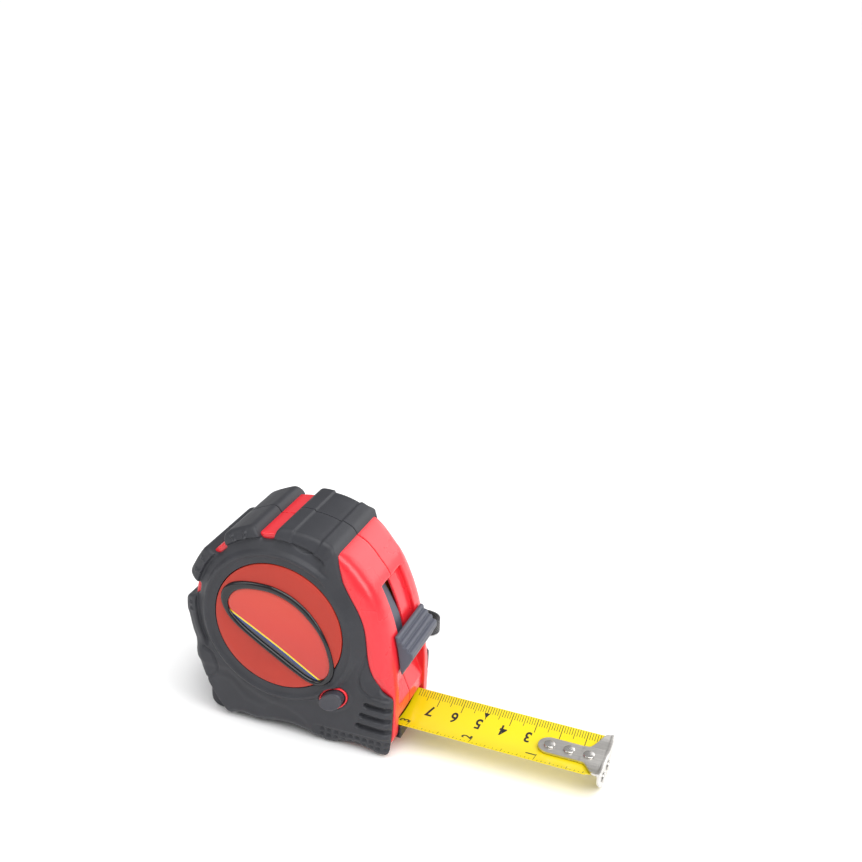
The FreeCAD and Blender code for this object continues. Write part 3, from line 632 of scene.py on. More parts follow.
def grip_fields(h, near):
    xs, zs, X, Z = plan(h)
    gp = grip_outline()
    d2 = poly_sdf(gp, X, Z)
    r = np.hypot(X, Z - CZ)
    th = np.degrees(np.arctan2(Z - CZ, X))
    th = np.where(th < -60, th + 360, th)
    H = np.full(X.shape, 21.0, np.float32)
    # round the back: a flat ring, its crest, a slope down, then the teeth as separate pads that lean inwards
    back = sst(57, 63, th) * (1 - sst(203, 212, th))
    Hb = np.interp(r, [26.8, 29.4, 30.3, 30.9, 31.5, 32.7, 35.4, 35.9, 36.6, 38.0, 42.5],
                   [21.75, 21.75, 22.35, 22.65, 22.5, 21.0, 19.3, 19.1, 20.2, 20.0, 17.7]).astype(np.float32)
    Hf = np.interp(r, [26.8, 29.4, 30.3, 30.9, 31.5, 32.9], [21.75, 21.75, 22.3, 22.55, 22.3, 21.0]).astype(np.float32)
    Hf -= 1.2 * (1 - sst(0.0, 3.0, -d2))
    H = Hf * (1 - back) + Hb * back
    # flat facet beside the red front, ending in a crease
    bd = line_dist([(40.9, 30.7), (38.7, 34.4), (36.7, 39.5), (35.9, 44.6), (35.5, 51.1), (34.9, 56.2),
                    (33.2, 60.6), (30.6, 65.6), (27.8, 69.3), (25.8, 72.1), (24.2, 78.1), (22.7, 83.9)], X, Z)
    fac = 19.0 + 2.3 * np.clip(bd / 4.4, 0, 1.6)
    H = np.where(th < 75, smin(H, fac.astype(np.float32), 0.25), H)
    # lower base set back behind the swoosh line
    sw = [(-34.5, 24.3), (-22.2, 24.3), (-15.3, 18.9), (-8.6, 15.8), (-2.0, 14.3), (3.2, 13.7), (8.5, 11.5),
          (12.0, 8.5), (14.8, 4.9), (18.4, -0.5), (18.4, -6), (-45, -6), (-45, 24.3)]
    ds = poly_sdf(np.array(sw), X, Z)
    H -= 0.5 * sst(-0.6, 2.4, -ds)
    rg = line_dist([(-27.7, 20.0), (-21.2, 19.1), (-14.9, 12.5), (-8.3, 11.0), (-2.1, 14.9)], X, Z)
    H += 0.2 * (1 - sst(0.0, 2.4, rg))
    sp = line_dist([(-33.1, 31.3), (-29.4, 29.6), (-27.4, 24.5), (-27.5, 21.3), (-29.6, 18.9), (-33.3, 15.7)], X, Z)
    H -= 0.55 * (1 - sst(0.25, 0.95, sp))
    # sharp fold where the disc meets the front block
    cr = line_dist([(35.6, 44.5), (33.6, 38.3), (33.0, 34.5), (33.4, 32.0), (34.8, 30.0), (37.5, 28.0), (46.5, 27.4)], X, Z)
    H -= 0.45 * (1 - sst(0.2, 0.9, cr))
    # finger grooves with rounded ends
    for xa, za, zb in ((36.6, 23.4, 23.0), (34.9, 18.4, 18.0), (33.3, 13.4, 13.0)):
        dg = line_dist([(xa, za), (44.9, zb)], X, Z)
        H -= 2.0 * (1 - sst(0.55, 1.6, dg))
    H = np.where((X > 38) & (Z < 30) & (Z > 9.5), np.maximum(H, 18.9), H)
    # chamfered base band and its two rows of small pits
    bt = Z - (8.9 + (X - 14.6) * 0.02)
    band = (1 - sst(-0.5, 0.5, bt)) * sst(14.0, 17.0, X)
    H -= (0.35 + 0.16 * np.clip(-bt, 0, 9)) * band
    for (x0, z0, x1, z1) in ((17.9, 7.4, 44.6, 7.3), (17.6, 4.6, 44.2, 4.5)):
        for i in range(10):
            cx, cz = x0 + (x1 - x0) * i / 9, z0 + (z1 - z0) * i / 9
            dd = np.maximum(np.abs(X - cx) - 0.75, np.abs(Z - cz) - 0.55)
            H -= 0.55 * (1 - sst(-0.15, 0.4, dd))
    # small round studs on the teeth
    for r0, t0 in ((38.9, 111.5), (38.9, 120.5), (36.9, 112.5), (36.9, 119.5),
                   (38.9, 147.5), (38.9, 157.0), (36.9, 148.5), (36.9, 156.0), (38.9, 180.2), (38.9, 184.4)):
        cx, cz = r0 * math.cos(math.radians(t0)), CZ + r0 * math.sin(math.radians(t0))
        H += 0.85 * (1 - sst(0.35, 0.95, np.hypot(X - cx, Z - cz)))
    # pad let into the top, hanging down the side as a U
    ca, sa = math.cos(math.radians(74.5)), math.sin(math.radians(74.5))
    u = X * sa - (Z - CZ) * ca          # across
    v = X * ca + (Z - CZ) * sa          # outward
    pad = np.maximum(np.abs(u) - 5.6, 35.6 - v)
    ell = np.hypot(u, np.minimum(v - 38.2, 0) * 1.6) - 5.6
    pad = np.where(v < 38.2, ell, np.abs(u) - 5.6)
    padm = 1 - sst(-0.35, 0.35, pad)
    H -= 0.6 * padm * (v > 30)
    if near:
        od = oval_d(X, Z, 6.45, 4.55)
        H += 0.5 * (1 - sst(0.5, 2.0, od)) * (od > -0.5)
    # rear lobes stand in from the side plane
    rear = poly_sdf(np.array([(-45, -5), (-21.0, -5), (-23.0, 1.5), (-28.0, 8.0), (-32.6, 15.5), (-35.5, 22.0), (-45, 23.0)]), X, Z)
    H = np.where(rear < 0.6, np.minimum(H, 21.0 - 5.2 * sst(-0.4, 0.5, -rear)), H)
    return xs, zs, X, Z, d2, H, r, padm * (v > 30), pad


def shell_fields(h):
    xs, zs, X, Z = plan(h)
    sp = soften(resample(SHELL, 0.7), 3, 0.5)
    return xs, zs, X, Z, poly_sdf(sp, X, Z)


def shell_sdf(h, ss, side):
    """hard shell half: ss is the distance out from the split plane"""
    xs, zs, X, Z, d2 = shell_fields(h)
    S = ss[None, :, None]
    X3, Z3, D = X[:, None, :], Z[:, None, :], d2[:, None, :]
    # side plane, fuller at the bare front, with a wide rounded shoulder there
    gf = grip_fields(h, side < 0)
    dg, Hg = gf[4], gf[5]
    fr = sst(18.0, 30.0, X)
    T = np.minimum(17.3, Hg - 1.4)
    T = T + (17.6 - T + 1.7 * fr * sst(26, 40, Z)) * sst(-1.6, 0.2, dg)
    T = T[:, None, :]
    k = (1.2 + 6.6 * fr * sst(24, 40, Z))[:, None, :]
    hh = np.maximum(k - np.abs(D - (S - T)), 0) / k
    F = np.maximum(D, S - T) + hh * hh * k * 0.25
    F = smin(F, np.maximum(np.hypot(X, Z - CZ)[:, None, :] - 26.5, S - 21.0), 0.2)
    pr = np.hypot(X3 - FCX, Z3 - FCZ)
    pa = np.degrees(np.arctan2(Z3 - FCZ, X3 - FCX))
    sy = S * side                                     # signed y
    # slot track: shallow recess, and on the label side of the middle a window through the wall
    rec = np.maximum(np.maximum(86.3 - pr, (np.maximum(pa - 26.9, 1.5 - pa)) * 1.5), np.abs(sy) - 8.8)
    F = smax(F, -rec, 0.5)
    win = np.maximum(np.maximum(78.0 - pr, (np.maximum(pa - 26.9, 1.5 - pa)) * 1.5),
                     np.maximum(-8.4 - sy, sy + 0.6))
    F = smax(F, -win, 0.4)
    # recess over the mouth: a sloping ledge, then a set-back wall
    led = np.maximum(np.abs(sy) - 13.2, 0 * S)
    prof = poly_sdf(np.array([(45.7, 2.0), (45.9, 19.6), (43.0, 26.5), (42.9, 35.5), (54, 35.5), (54, 2)]), X, Z)[:, None, :]
    F = smax(F, -np.maximum(prof, np.abs(sy) - 13.2), 0.5)
    mtop = 14.0 + 0 * sy
    mouth = np.maximum(np.maximum(np.abs(sy) - 13.2, np.maximum(39.0 - X3, X3 - 60)), np.maximum(Z3 - mtop, 6.4 - Z3))
    F = smax(F, -mouth, 0.5)
    # open behind the wall, so that the inside reads dark through the slot and the mouth
    cav = np.maximum(D + 2.3, S - 15.5)
    cav = np.maximum(cav, -1.0 - S)
    cav = np.maximum(cav, 1.7 - np.maximum(prof, np.abs(sy) - 13.2))
    roof = 86.55 - 0.18 * np.clip(pa - 28.0, 0, 12)
    cav = np.minimum(cav, np.maximum(np.maximum(pr - roof, 80.0 - pr), np.maximum(np.maximum((pa - 37.6) * 1.47, (3.0 - pa) * 1.47),
                                                                                   np.maximum(-8.5 - sy, sy + 0.45))))
    cav = np.minimum(cav, np.maximum(np.maximum(pr - 83.1, 79.0 - pr), np.maximum(np.maximum((pa - 5.0) * 1.45, (-10.5 - pa) * 1.45), np.abs(sy) - 8.2)))
    cav = np.minimum(cav, np.maximum(np.maximum(np.abs(sy) - 12.9, np.maximum(38.0 - X3, X3 - 44.5)), np.maximum(Z3 - 13.9, 6.6 - Z3)))
    F = np.maximum(F, -cav)
    # strap notch
    nt_ = np.maximum(np.maximum(X3 + 29.6, np.abs(sy) - 5.2), np.maximum(Z3 - 10.8, -Z3 - 5))
    F = smax(F, -nt_, 0.4)
    # the halves meet with a fine parting line
    F = np.maximum(F, 0.14 - S)
    return F, xs, zs


def grip_sdf(h, ss, near):
    xs, zs, X, Z, d2, H, r, padm, pad = grip_fields(h, near)
    side = -1 if near else 1
    S = ss[None, :, None]
    X3, Z3 = X[:, None, :], Z[:, None, :]
    D = (d2 + 0.75 * padm)[:, None, :]
    F = smax(D, S - H[:, None, :], 1.5)
    # hollow: rubber only outside the shell
    sp = soften(resample(SHELL, 0.7), 3, 0.5)
    ds = poly_sdf(sp, X, Z)[:, None, :]
    F = np.maximum(F, -np.maximum(ds + 0.5, S - np.minimum(17.3, H - 1.3)[:, None, :]))
    F = smax(F, -(r[:, None, :] - 26.8), 0.3)
    if near:
        F = smax(F, -oval_d(X, Z, 6.42, 4.52)[:, None, :], 0.3)
    else:
        for x, z in ((-29.0, 21.5), (33.5, 25.0), (19.0, 82.3)):
            F = smax(F, -np.maximum(np.hypot(X3 - x, Z3 - z) - 3.0, 17.0 - S), 0.4)
    # the mouth side is left open
    F = smax(F, -np.maximum(np.maximum(41.6 - X3, S - 17.9), Z3 - 31.0), 0.5)
    F = smax(F, -np.maximum(np.maximum(25.0 - X3, S - 15.0), Z3 - 5.0), 0.8)
    nt_ = np.maximum(np.maximum(X3 + 29.6, S - 5.2), Z3 - 10.8)
    F = smax(F, -nt_, 0.8)
    F = np.maximum(F, 0.14 - S)
    return F, xs, zs


def build_half(name, fn, near, mat, node, target):
    h = H_BIG
    side = -1 if near else 1
    ss = np.arange(-2 * h, 24.0, h, dtype=np.float32)
    if fn == "shell":
        F, xs, zs = shell_sdf(h, ss, side)
    else:
        F, xs, zs = grip_sdf(h, ss, near)
    F = np.broadcast_to(F, (len(xs), len(ss), len(zs)))
    V, Q = nets(F, (xs[0], ss[0], zs[0]), h)
    if near:
        V = V * np.array([1, -1, 1])
        Q = Q[:, ::-1]
    ob = mesh_piece(name, V, Q, mat, "case", (node,))
    thin_out(ob, target)
    return ob


build_half("grip_label_side", "grip", True, M["grip_rubber_matte"], "label_side_grip", 170000)
build_half("grip_clip_side", "grip", False, M["grip_rubber_matte"], "clip_side_grip", 150000)
build_half("shell_label_side", "shell", True, M["shell_red_abs"], "label_side_shell", 120000)
build_half("shell_clip_side", "shell", False, M["shell_red_abs"], "clip_side_shell", 120000)


# ------------------------------------------------------------------ generic SDF piece in its own box
def sdf_piece(name, lo, hi, h, fn, mat, body, replaces=(), target=60000):
    xs, ys, zs = grid3(lo, hi, h)
    X, Y, Z = xs[:, None, None], ys[None, :, None], zs[None, None, :]
    F = np.broadcast_to(fn(X, Y, Z), (len(xs), len(ys), len(zs)))
    V, Q = nets(F, (xs[0], ys[0], zs[0]), h)
    ob = mesh_piece(name, V, Q, mat, body, replaces)
    thin_out(ob, target)
    return ob


def plane_poly(P, X, Z):
    """outline distance on a grid given as open arrays"""
    A, B = np.broadcast_arrays(X, Z)
    sh = A.shape
    if sh[1] == 1:
        return poly_sdf(P, A[:, 0, :], B[:, 0, :])[:, None, :]
    return poly_sdf(P, A, B)


# label film, rim and dome
def label_disc(name, r, y_in, y_out, mat, body, rep, side, hole=0.0):
    n, rings = 128, 10
    vs, fs = [], []
    prof = [(hole if hole else 0.001, y_out)] + [(hole + (r - 0.25 - hole) * (i + 1) / rings, y_out) for i in range(rings)] + \
           [(r - 0.08, y_out - 0.05), (r, y_out - 0.18), (r, y_in)] + [(hole if hole else 0.001, y_in)]
    for (pr_, py) in prof:
        for i in range(n):
            a = 2 * math.pi * i / n
            vs.append((pr_ * math.cos(a), side * py, CZ + pr_ * math.sin(a)))
    m = len(prof)
    for j in range(m):
        if j == m - 1 and not hole:
            break
        for i in range(n):
            q = [j * n + i, j * n + (i + 1) % n, ((j + 1) % m) * n + (i + 1) % n, ((j + 1) % m) * n + i]
            fs.append(q if side < 0 else q[::-1])
    if not hole:
        a0 = [i for i in range(n)]
        a1 = [(m - 1) * n + i for i in range(n)]
        fs.append(a0[::-1] if side < 0 else a0)
        fs.append(a1 if side < 0 else a1[::-1])
    return mesh_piece(name, vs, fs, mat, body, rep)


label_disc("label_film", 26.5, 21.0, 21.8, M["label_film_satin"], "case", ("label_plate",), -1)
label_disc("label_film_clip_side", 26.5, 21.0, 21.8, M["label_film_satin"], "case", ("clip_side_label",), 1, hole=1.65)

RO = soften(resample(catmull(RIM_OUT), 0.5), 2)
RI = soften(resample(catmull(RIM_IN), 0.5), 2)


def rim_fn(X, Y, Z):
    do, di = plane_poly(RO, X, Z), plane_poly(RI, X, Z)
    side_ = np.maximum(do, -di)
    # rounded bead, highest in the middle of its width
    w = np.minimum(-do, di)
    top = 21.7 + 1.15 * np.sqrt(np.clip(1 - (1 - np.clip(w / 1.35, 0, 1)) ** 2, 0, 1))
    return np.maximum(side_, np.maximum(-Y - top, Y + 21.2))


hq = 0.2
sdf_piece("label_rim_bead", (-25.5, -23.6, 26.5), (25.5, -20.6, 68.5), hq, rim_fn, M["rim_gloss_black"], "case", ("label_rim",), 70000)


def dome_mesh():
    n = 160
    P = resample(RI, 0.5)
    P = soften(resample(P, np.linalg.norm(np.diff(np.vstack([P, P[:1]]), axis=0), axis=1).sum() / n * 1.0001), 1)[:n]
    n = len(P)
    c = P.mean(0)
    rings = 26
    vs, fs = [], []
    for j in range(rings):
        t = j / (rings - 1)
        k = 1 - t
        y = -(21.75 + 0.62 * math.sqrt(max(0, 1 - k ** 4)) )
        for p in P:
            q = c + (p - c) * max(k, 0.002) * 1.016
            vs.append((q[0], y, q[1]))
    for j in range(rings - 1):
        for i in range(n):
            fs.append((j * n + i, j * n + (i + 1) % n, (j + 1) * n + (i + 1) % n, (j + 1) * n + i))
    fs.append([(rings - 1) * n + i for i in range(n)])
    base = len(vs)
    for p in P:
        vs.append((p[0], -21.1, p[1]))
    for i in range(n):
        fs.append((base + i, base + (i + 1) % n, (i + 1) % n, i))
    fs.append([base + i for i in range(n)][::-1])
    return vs, fs


vs, fs = dome_mesh()
dome = mesh_piece("label_dome_film", vs, [tuple(q) for q in fs], M["dome_film_gloss"], "case", ("label_dome",))


# ------------------------------------------------------------------ button and its bezel
def oval_loft(name, prof, mat, body, rep, n=96, closed=False):
    """prof: list of (half axis a, half axis b, y); lofted ring by ring"""
    t0 = BTN[2]
    vs, fs = [], []
    for a, b, y in prof:
        for i in range(n):
            t = 2 * math.pi * i / n
            u, v = a * math.cos(t), b * math.sin(t)
            vs.append((BTN[0] + u * math.cos(t0) - v * math.sin(t0), y, BTN[1] + u * math.sin(t0) + v * math.cos(t0)))
    m = len(prof)
    for j in range(m if closed else m - 1):
        for i in range(n):
            fs.append((j * n + i, j * n + (i + 1) % n, ((j + 1) % m) * n + (i + 1) % n, ((j + 1) % m) * n + i))
    if not closed:
        fs.append(tuple(range(n))[::-1])
        fs.append(tuple((m - 1) * n + i for i in range(n)))
    return mesh_piece(name, vs, fs, mat, body, rep)


bez_prof = [(6.40, 4.50, -17.9), (6.40, 4.50, -21.5)] + [(6.02 + 0.38 * math.cos(math.pi * k / 12), 4.12 + 0.38 * math.cos(math.pi * k / 12), -21.6 - 0.45 * math.sin(math.pi * k / 12)) for k in range(13)] + [(5.64, 3.74, -21.4), (5.64, 3.74, -17.9)]
oval_loft("button_bezel_ring", bez_prof, M["shell_red_abs"], "case", ("button_bezel",), closed=True)
bt_prof = [(0.02, 0.02, -24.42)]
for k in range(1, 11):
    s_ = k / 10
    bt_prof.append((4.60 * s_, 2.95 * s_, -24.42 - 0.42 * s_ ** 2.2))
for k in range(1, 7):
    a = math.pi / 2 * k / 6
    bt_prof.append((4.60 + 0.60 * math.sin(a), 2.95 + 0.55 * math.sin(a), -24.84 + 0.6 * (1 - math.cos(a))))
bt_prof += [(5.28, 3.56, -23.0), (5.28, 3.56, -20.45), (3.35, 3.20, -20.45), (3.35, 3.20, -22.9), (0.02, 0.02, -22.9)]
oval_loft("button_cap", bt_prof[::-1], M["button_slate_abs"], "button", ("brake_button",))


# ------------------------------------------------------------------ thumb lock
up_pts = [(37.9, 68.4), (38.8, 68.5), (40.2, 67.3), (41.5, 67.2), (43.2, 65.9), (44.6, 65.7),
          (45.9, 65.4), (47.1, 63.9), (47.4, 62.3), (46.4, 59.9), (46.3, 57.2), (45.4, 55.3),
          (45.0, 53.7), (44.5, 51.7), (44.2, 50.7)]


def lock_outline():
    A, Tp = np.array((38.2, 67.7)), np.array((46.9, 61.9))
    d = Tp - A
    n = np.array((-d[1], d[0])) / np.linalg.norm(d)
    pts = [tuple(A - n * 0.2)]
    for i in range(4):
        for k in range(9):
            t = (i + 0.04 + 0.92 * k / 8) / 4
            pts.append(tuple(A + d * t + n * 0.85 * math.sin(math.pi * k / 8) ** 0.75))
    pts += [(47.2, 61.2), (46.6, 59.4), (46.2, 57.2), (45.4, 55.3), (45.0, 53.7), (44.7, 52.2)]
    out = []
    for x, z in pts:
        r_ = math.hypot(x - FCX, z - FCZ)
        a_ = math.degrees(math.atan2(z - FCZ, x - FCX)) - 11.0
        out.append(front_pt(max(r_, FR + 0.4), a_))
    a_hi = math.degrees(math.atan2(67.7 - FCZ, 38.2 - FCX)) - 11.0
    a_lo = math.degrees(math.atan2(52.2 - FCZ, 44.6 - FCX)) - 11.0
    out += [front_pt(FR + 0.4, a_lo + (a_hi - a_lo) * i / 6) for i in range(1, 6)]
    return np.array(out)


LP = soften(resample(lock_outline(), 0.2), 2)


def lock_fn(X, Y, Z):
    d = plane_poly(LP, X, Z)
    A, B = np.broadcast_arrays(X, Z)
    F = smax(d, np.abs(Y) - 13.15, 0.6)
    pa = np.degrees(np.arctan2(B - FCZ, A - FCX))
    pr_ = np.hypot(A - FCX, B - FCZ)
    stem = np.maximum(np.maximum(85.2 - pr_, pr_ - 89.4), np.maximum((pa - 12) * 1.5, (6 - pa) * 1.5))
    stem = np.maximum(stem, np.abs(Y + 4.5) - 3.4)
    return np.minimum(F, stem)


sdf_piece("lock_thumb_block", (38.5, -14.2, 32.0), (54.5, 14.2, 55.0), 0.2, lock_fn, M["lock_slate_abs"], "lock", ("thumb_lock",), 110000)


def tongue_fn(X, Y, Z):
    X, Y, Z = np.broadcast_arrays(X, Y, Z)
    pa = np.degrees(np.arctan2(Z - FCZ, X - FCX))
    pr_ = np.hypot(X - FCX, Z - FCZ)
    top = 86.1 - 0.18 * np.clip(pa - 17.0, 0, 12)
    F = smax(np.abs(pr_ - top + 0.6) - 0.6, np.abs(Y + 4.5) - 3.8, 0.35)
    return smax(F, np.maximum((pa - 25.9) * 1.48, (5.0 - pa) * 1.48), 0.4)


sdf_piece("lock_tongue_plate", (32.0, -9.2, 35.0), (45.5, 0.2, 69.0), 0.26, tongue_fn, M["lock_slate_abs"], "lock", ("lock_tongue",), 40000)


# ------------------------------------------------------------------ mouth lip
def lip_fn(X, Y, Z):
    zc = 10.1 + 31.35
    top = zc - np.sqrt(np.maximum(32.0 ** 2 - Y ** 2, 1))
    box = np.maximum(np.maximum(43.4 - X, X - 47.8), np.maximum(np.abs(Y) - 13.0, 6.5 - Z))
    return smax(box, Z - top, 0.9)


sdf_piece("mouth_lip_guide", (42, -14.4, 5.6), (49, 14.4, 13.5), 0.3, lip_fn, M["lip_gloss_black"], "case", ("mouth_lip",), 30000)

# ------------------------------------------------------------------ blade, with its printed scale
X_ZERO = 125.5
BZC = 10.1 + 31.35
BR = 31.35


def on_blade(x, y, lift=0.0):
    """a point on the trough's upper surface; y is measured along the arc"""
    a = y / BR
    r_ = BR - lift
    return (x, r_ * math.sin(a), BZC - r_ * math.cos(a))


YE = BR * math.asin(12.5 / BR)       # half width along the arc


def blade_mesh():
    nx, ny = 120, 28
    x0, x1 = 44.5, 123.3
    vs, fs = [], []
    for lay, lift in enumerate((0.0, -0.28)):
        for i in range(nx + 1):
            for j in range(ny + 1):
                y = -YE + 2 * YE * j / ny
                x = x0 + (x1 - x0) * i / nx
                if x > 120.5 and y < -10.8:
                    x = min(x, 123.3 - 3.2 * min(1, (-10.8 - y) / 1.2 + 0.05))
                vs.append(on_blade(x, y, lift))
    N = (nx + 1) * (ny + 1)
    for i in range(nx):
        for j in range(ny):
            a, b, c, d = i * (ny + 1) + j, (i + 1) * (ny + 1) + j, (i + 1) * (ny + 1) + j + 1, i * (ny + 1) + j + 1
            fs.append((a, b, c, d))
            fs.append((a + N, d + N, c + N, b + N))
    for i in range(nx):
        for j in (0, ny):
            a, b = i * (ny + 1) + j, (i + 1) * (ny + 1) + j
            fs.append((a, a + N, b + N, b) if j == 0 else (b, b + N, a + N, a))
    for j in range(ny):
        for i in (0, nx):
            a, b = i * (ny + 1) + j, i * (ny + 1) + j + 1
            fs.append((b, b + N, a + N, a) if i == 0 else (a, a + N, b + N, b))
    return vs, fs


vs, fs = blade_mesh()
blade = mesh_piece("blade_tape", vs, fs, M["blade_lacquer"], "blade", ("blade_strip",))


class Print:
    """flat marks wrapped onto the blade"""

    def __init__(self):
        self.v, self.f = [], []

    def rect(self, x0, x1, y0, y1, lift=0.02):
        n = max(1, int(abs(y1 - y0) / 0.8))
        m = 1
        b = len(self.v)
        for i in range(n + 1):
            y = y0 + (y1 - y0) * i / n
            self.v += [on_blade(x0, y, lift), on_blade(x1, y, lift)]
        for i in range(n):
            k = b + 2 * i
            self.f.append((k, k + 1, k + 3, k + 2))

    def poly(self, pts, lift=0.02):
        b = len(self.v)
        self.v += [on_blade(x, y, lift) for x, y in pts]
        self.f.append(tuple(range(b, b + len(pts))))

    def text(self, s, cx, cy, size, lift=0.022, turn="over", squeeze=1.0):
        cu = bpy.data.curves.new("tmp_text", "FONT")
        cu.body = s
        cu.size = size
        cu.align_x, cu.align_y = "CENTER", "CENTER"
        cu.resolution_u = 6
        cu.offset = size * 0.022
        ob = bpy.data.objects.new("tmp_text", cu)
        bpy.context.scene.collection.objects.link(ob)
        dg = bpy.context.evaluated_depsgraph_get()
        me = bpy.data.meshes.new_from_object(ob.evaluated_get(dg))
        bpy.data.objects.remove(ob)
        b = len(self.v)
        for p in me.vertices:
            u, w = p.co.x * squeeze, p.co.y
            if turn == "over":
                u, w = -u, -w
            elif turn == "side":
                u, w = -w, u
            self.v.append(on_blade(cx + u, cy + w, lift))
        for q in me.polygons:
            idx = [b + i for i in q.vertices]
            self.f.append(tuple(idx))
        bpy.data.meshes.remove(me)


pk = Print()
for mm in range(5, 80):
    x = X_ZERO - mm
    if x < 45.0 or x > 122.8:
        continue
    ln = 6.6 if mm % 10 == 0 else (4.9 if mm % 5 == 0 else 3.3)
    wd = 0.14 if mm % 10 == 0 else 0.11
    pk.rect(x - wd, x + wd, YE - 0.25 - ln, YE - 0.25)
for s16 in range(3, 50):
    x = X_ZERO - s16 * 25.4 / 16
    if x < 45.0 or x > 120.0:
        continue
    ln = 6.2 if s16 % 16 == 0 else (2.8 if s16 % 8 == 0 else (2.1 if s16 % 4 == 0 else (1.5 if s16 % 2 == 0 else 1.0)))
    pk.rect(x - 0.11, x + 0.11, -YE + 0.25, -YE + 0.25 + ln)
for cm in range(1, 8):
    x = X_ZERO - cm * 10
    pk.text(str(cm), x - 1.6, 3.0, 8.0, squeeze=0.72)
for inch in range(1, 4):
    pk.text(str(inch), X_ZERO - inch * 25.4 - 1.9, -YE + 5.6, 5.4, turn="side", squeeze=1.15)
x5 = X_ZERO - 50
pk.poly([(x5 - 1.15, YE - 3.6), (x5 + 1.15, YE - 3.6), (x5, YE - 6.2)][::-1])
mesh_piece("blade_scale_print", pk.v, [tuple(q) for q in pk.f], M["print_black"], "blade")


# ------------------------------------------------------------------ end hook
TZ = 10.1 + 0.62
HT = 0.9


def hook_fn(X, Y, Z):
    X, Y, Z = np.broadcast_arrays(X, Y, Z)
    # tongue
    dx = np.maximum(103.6 - X, 0)
    tongue = np.maximum(np.hypot(dx, Y) - 4.7, X - 125.0)
    tongue = np.where(X < 103.6, np.hypot(103.6 - X, Y) - 4.7, np.abs(Y) - 4.7)
    tongue = np.maximum(tongue, X - 125.2)
    tongue = np.maximum(tongue, np.abs(Z - TZ - HT / 2) - HT / 2)
    # flare: follows the trough and widens to the blade's full width
    wide = 4.7 + 7.7 * sst(116.5, 123.2, X) ** 1.25
    rr = np.hypot(Y, Z - BZC)
    fl = np.maximum(np.abs(rr - (BR - 0.25 - HT / 2)) - HT / 2, np.abs(Y) - wide)
    fl = np.maximum(fl, np.maximum(116.0 - X, X - 125.4))
    fl = np.maximum(fl, Z - 20)
    F = smin(tongue, fl, 0.5)
    # flange, narrowing downwards to a rounded end
    lim = np.interp(Z.ravel(), [1.0, 1.6, 3.0, 5.0, 9.0, 10.5, 15], [2.2, 3.9, 5.6, 8.2, 11.9, 12.4, 12.4]).reshape(Z.shape)
    top = BZC - np.sqrt(np.maximum((BR - 0.25 - HT) ** 2 - Y ** 2, 1))
    fg = np.maximum(np.abs(X - 125.05) - 0.45, np.maximum(np.abs(Y) - lim, np.maximum(1.1 - Z, Z - top)))
    F = smin(F, fg, 0.55)
    for x in (103.3, 111.0, 118.7):
        sl = np.hypot(np.maximum(np.abs(X - x) - 0.8, 0), Y) - 1.27
        F = np.maximum(F, -sl)
    return F + 0.02


sdf_piece("hook_plate", (97.5, -13.6, 0.2), (126.8, 13.6, 16.0), 0.17, hook_fn, M["hook_satin_nickel"], "hook", ("end_hook",), 140000)


def dome_cap(vs, fs, x, y, z, r, hgt, axis="z", n=40, rings=9, skirt=0.3):
    b = len(vs)
    for j in range(rings + 1):
        a = math.pi / 2 * j / rings
        rr, hh = r * math.cos(a), hgt * math.sin(a)
        if j == rings:
            rr = 0.01
        for i in range(n):
            t = 2 * math.pi * i / n
            if axis == "z":
                vs.append((x + rr * math.cos(t), y + rr * math.sin(t), z + hh))
            else:
                vs.append((x + hh, y + rr * math.cos(t), z + rr * math.sin(t)))
    for j in range(rings):
        for i in range(n):
            fs.append((b + j * n + i, b + j * n + (i + 1) % n, b + (j + 1) * n + (i + 1) % n, b + (j + 1) * n + i))
    fs.append(tuple(b + rings * n + i for i in range(n)))
    c = len(vs)
    for i in range(n):
        t = 2 * math.pi * i / n
        if axis == "z":
            vs.append((x + r * math.cos(t), y + r * math.sin(t), z - skirt))
        else:
            vs.append((x - skirt, y + r * math.cos(t), z + r * math.sin(t)))
    for i in range(n):
        fs.append((c + i, c + (i + 1) % n, b + (i + 1) % n, b + i))
    fs.append(tuple(c + i for i in range(n))[::-1])


def turned(vs, fs, cx, cy, cz, prof, axis="z", n=48):
    """a turned shape: prof is a list of (radius, height), closed at both ends"""
    b = len(vs)
    for r_, h_ in prof:
        for i in range(n):
            t = 2 * math.pi * i / n
            u, v = r_ * math.cos(t), r_ * math.sin(t)
            vs.append((cx + u, cy + v, cz + h_) if axis == "z" else (cx + h_, cy + u, cz + v))
    m = len(prof)
    for j in range(m - 1):
        for i in range(n):
            fs.append((b + j * n + i, b + j * n + (i + 1) % n, b + (j + 1) * n + (i + 1) % n, b + (j + 1) * n + i))
    fs.append(tuple(b + i for i in range(n))[::-1])
    fs.append(tuple(b + (m - 1) * n + i for i in range(n)))


def button_head(r, hgt, edge, shank=None, depth=0.0):
    out = []
    if shank:
        out += [(shank, -depth), (shank, 0.03)]
    out += [(r - 0.08, 0.03), (r, 0.09), (r, hgt - edge)]
    for k in range(1, 7):
        a = math.pi / 2 * k / 6
        out.append((r - edge + edge * math.cos(a), hgt - edge + edge * math.sin(a)))
    for k in range(1, 7):
        q = 1 - k / 6
        out.append(((r - edge) * max(q, 0.01), hgt + 0.12 * (1 - q * q)))
    return out


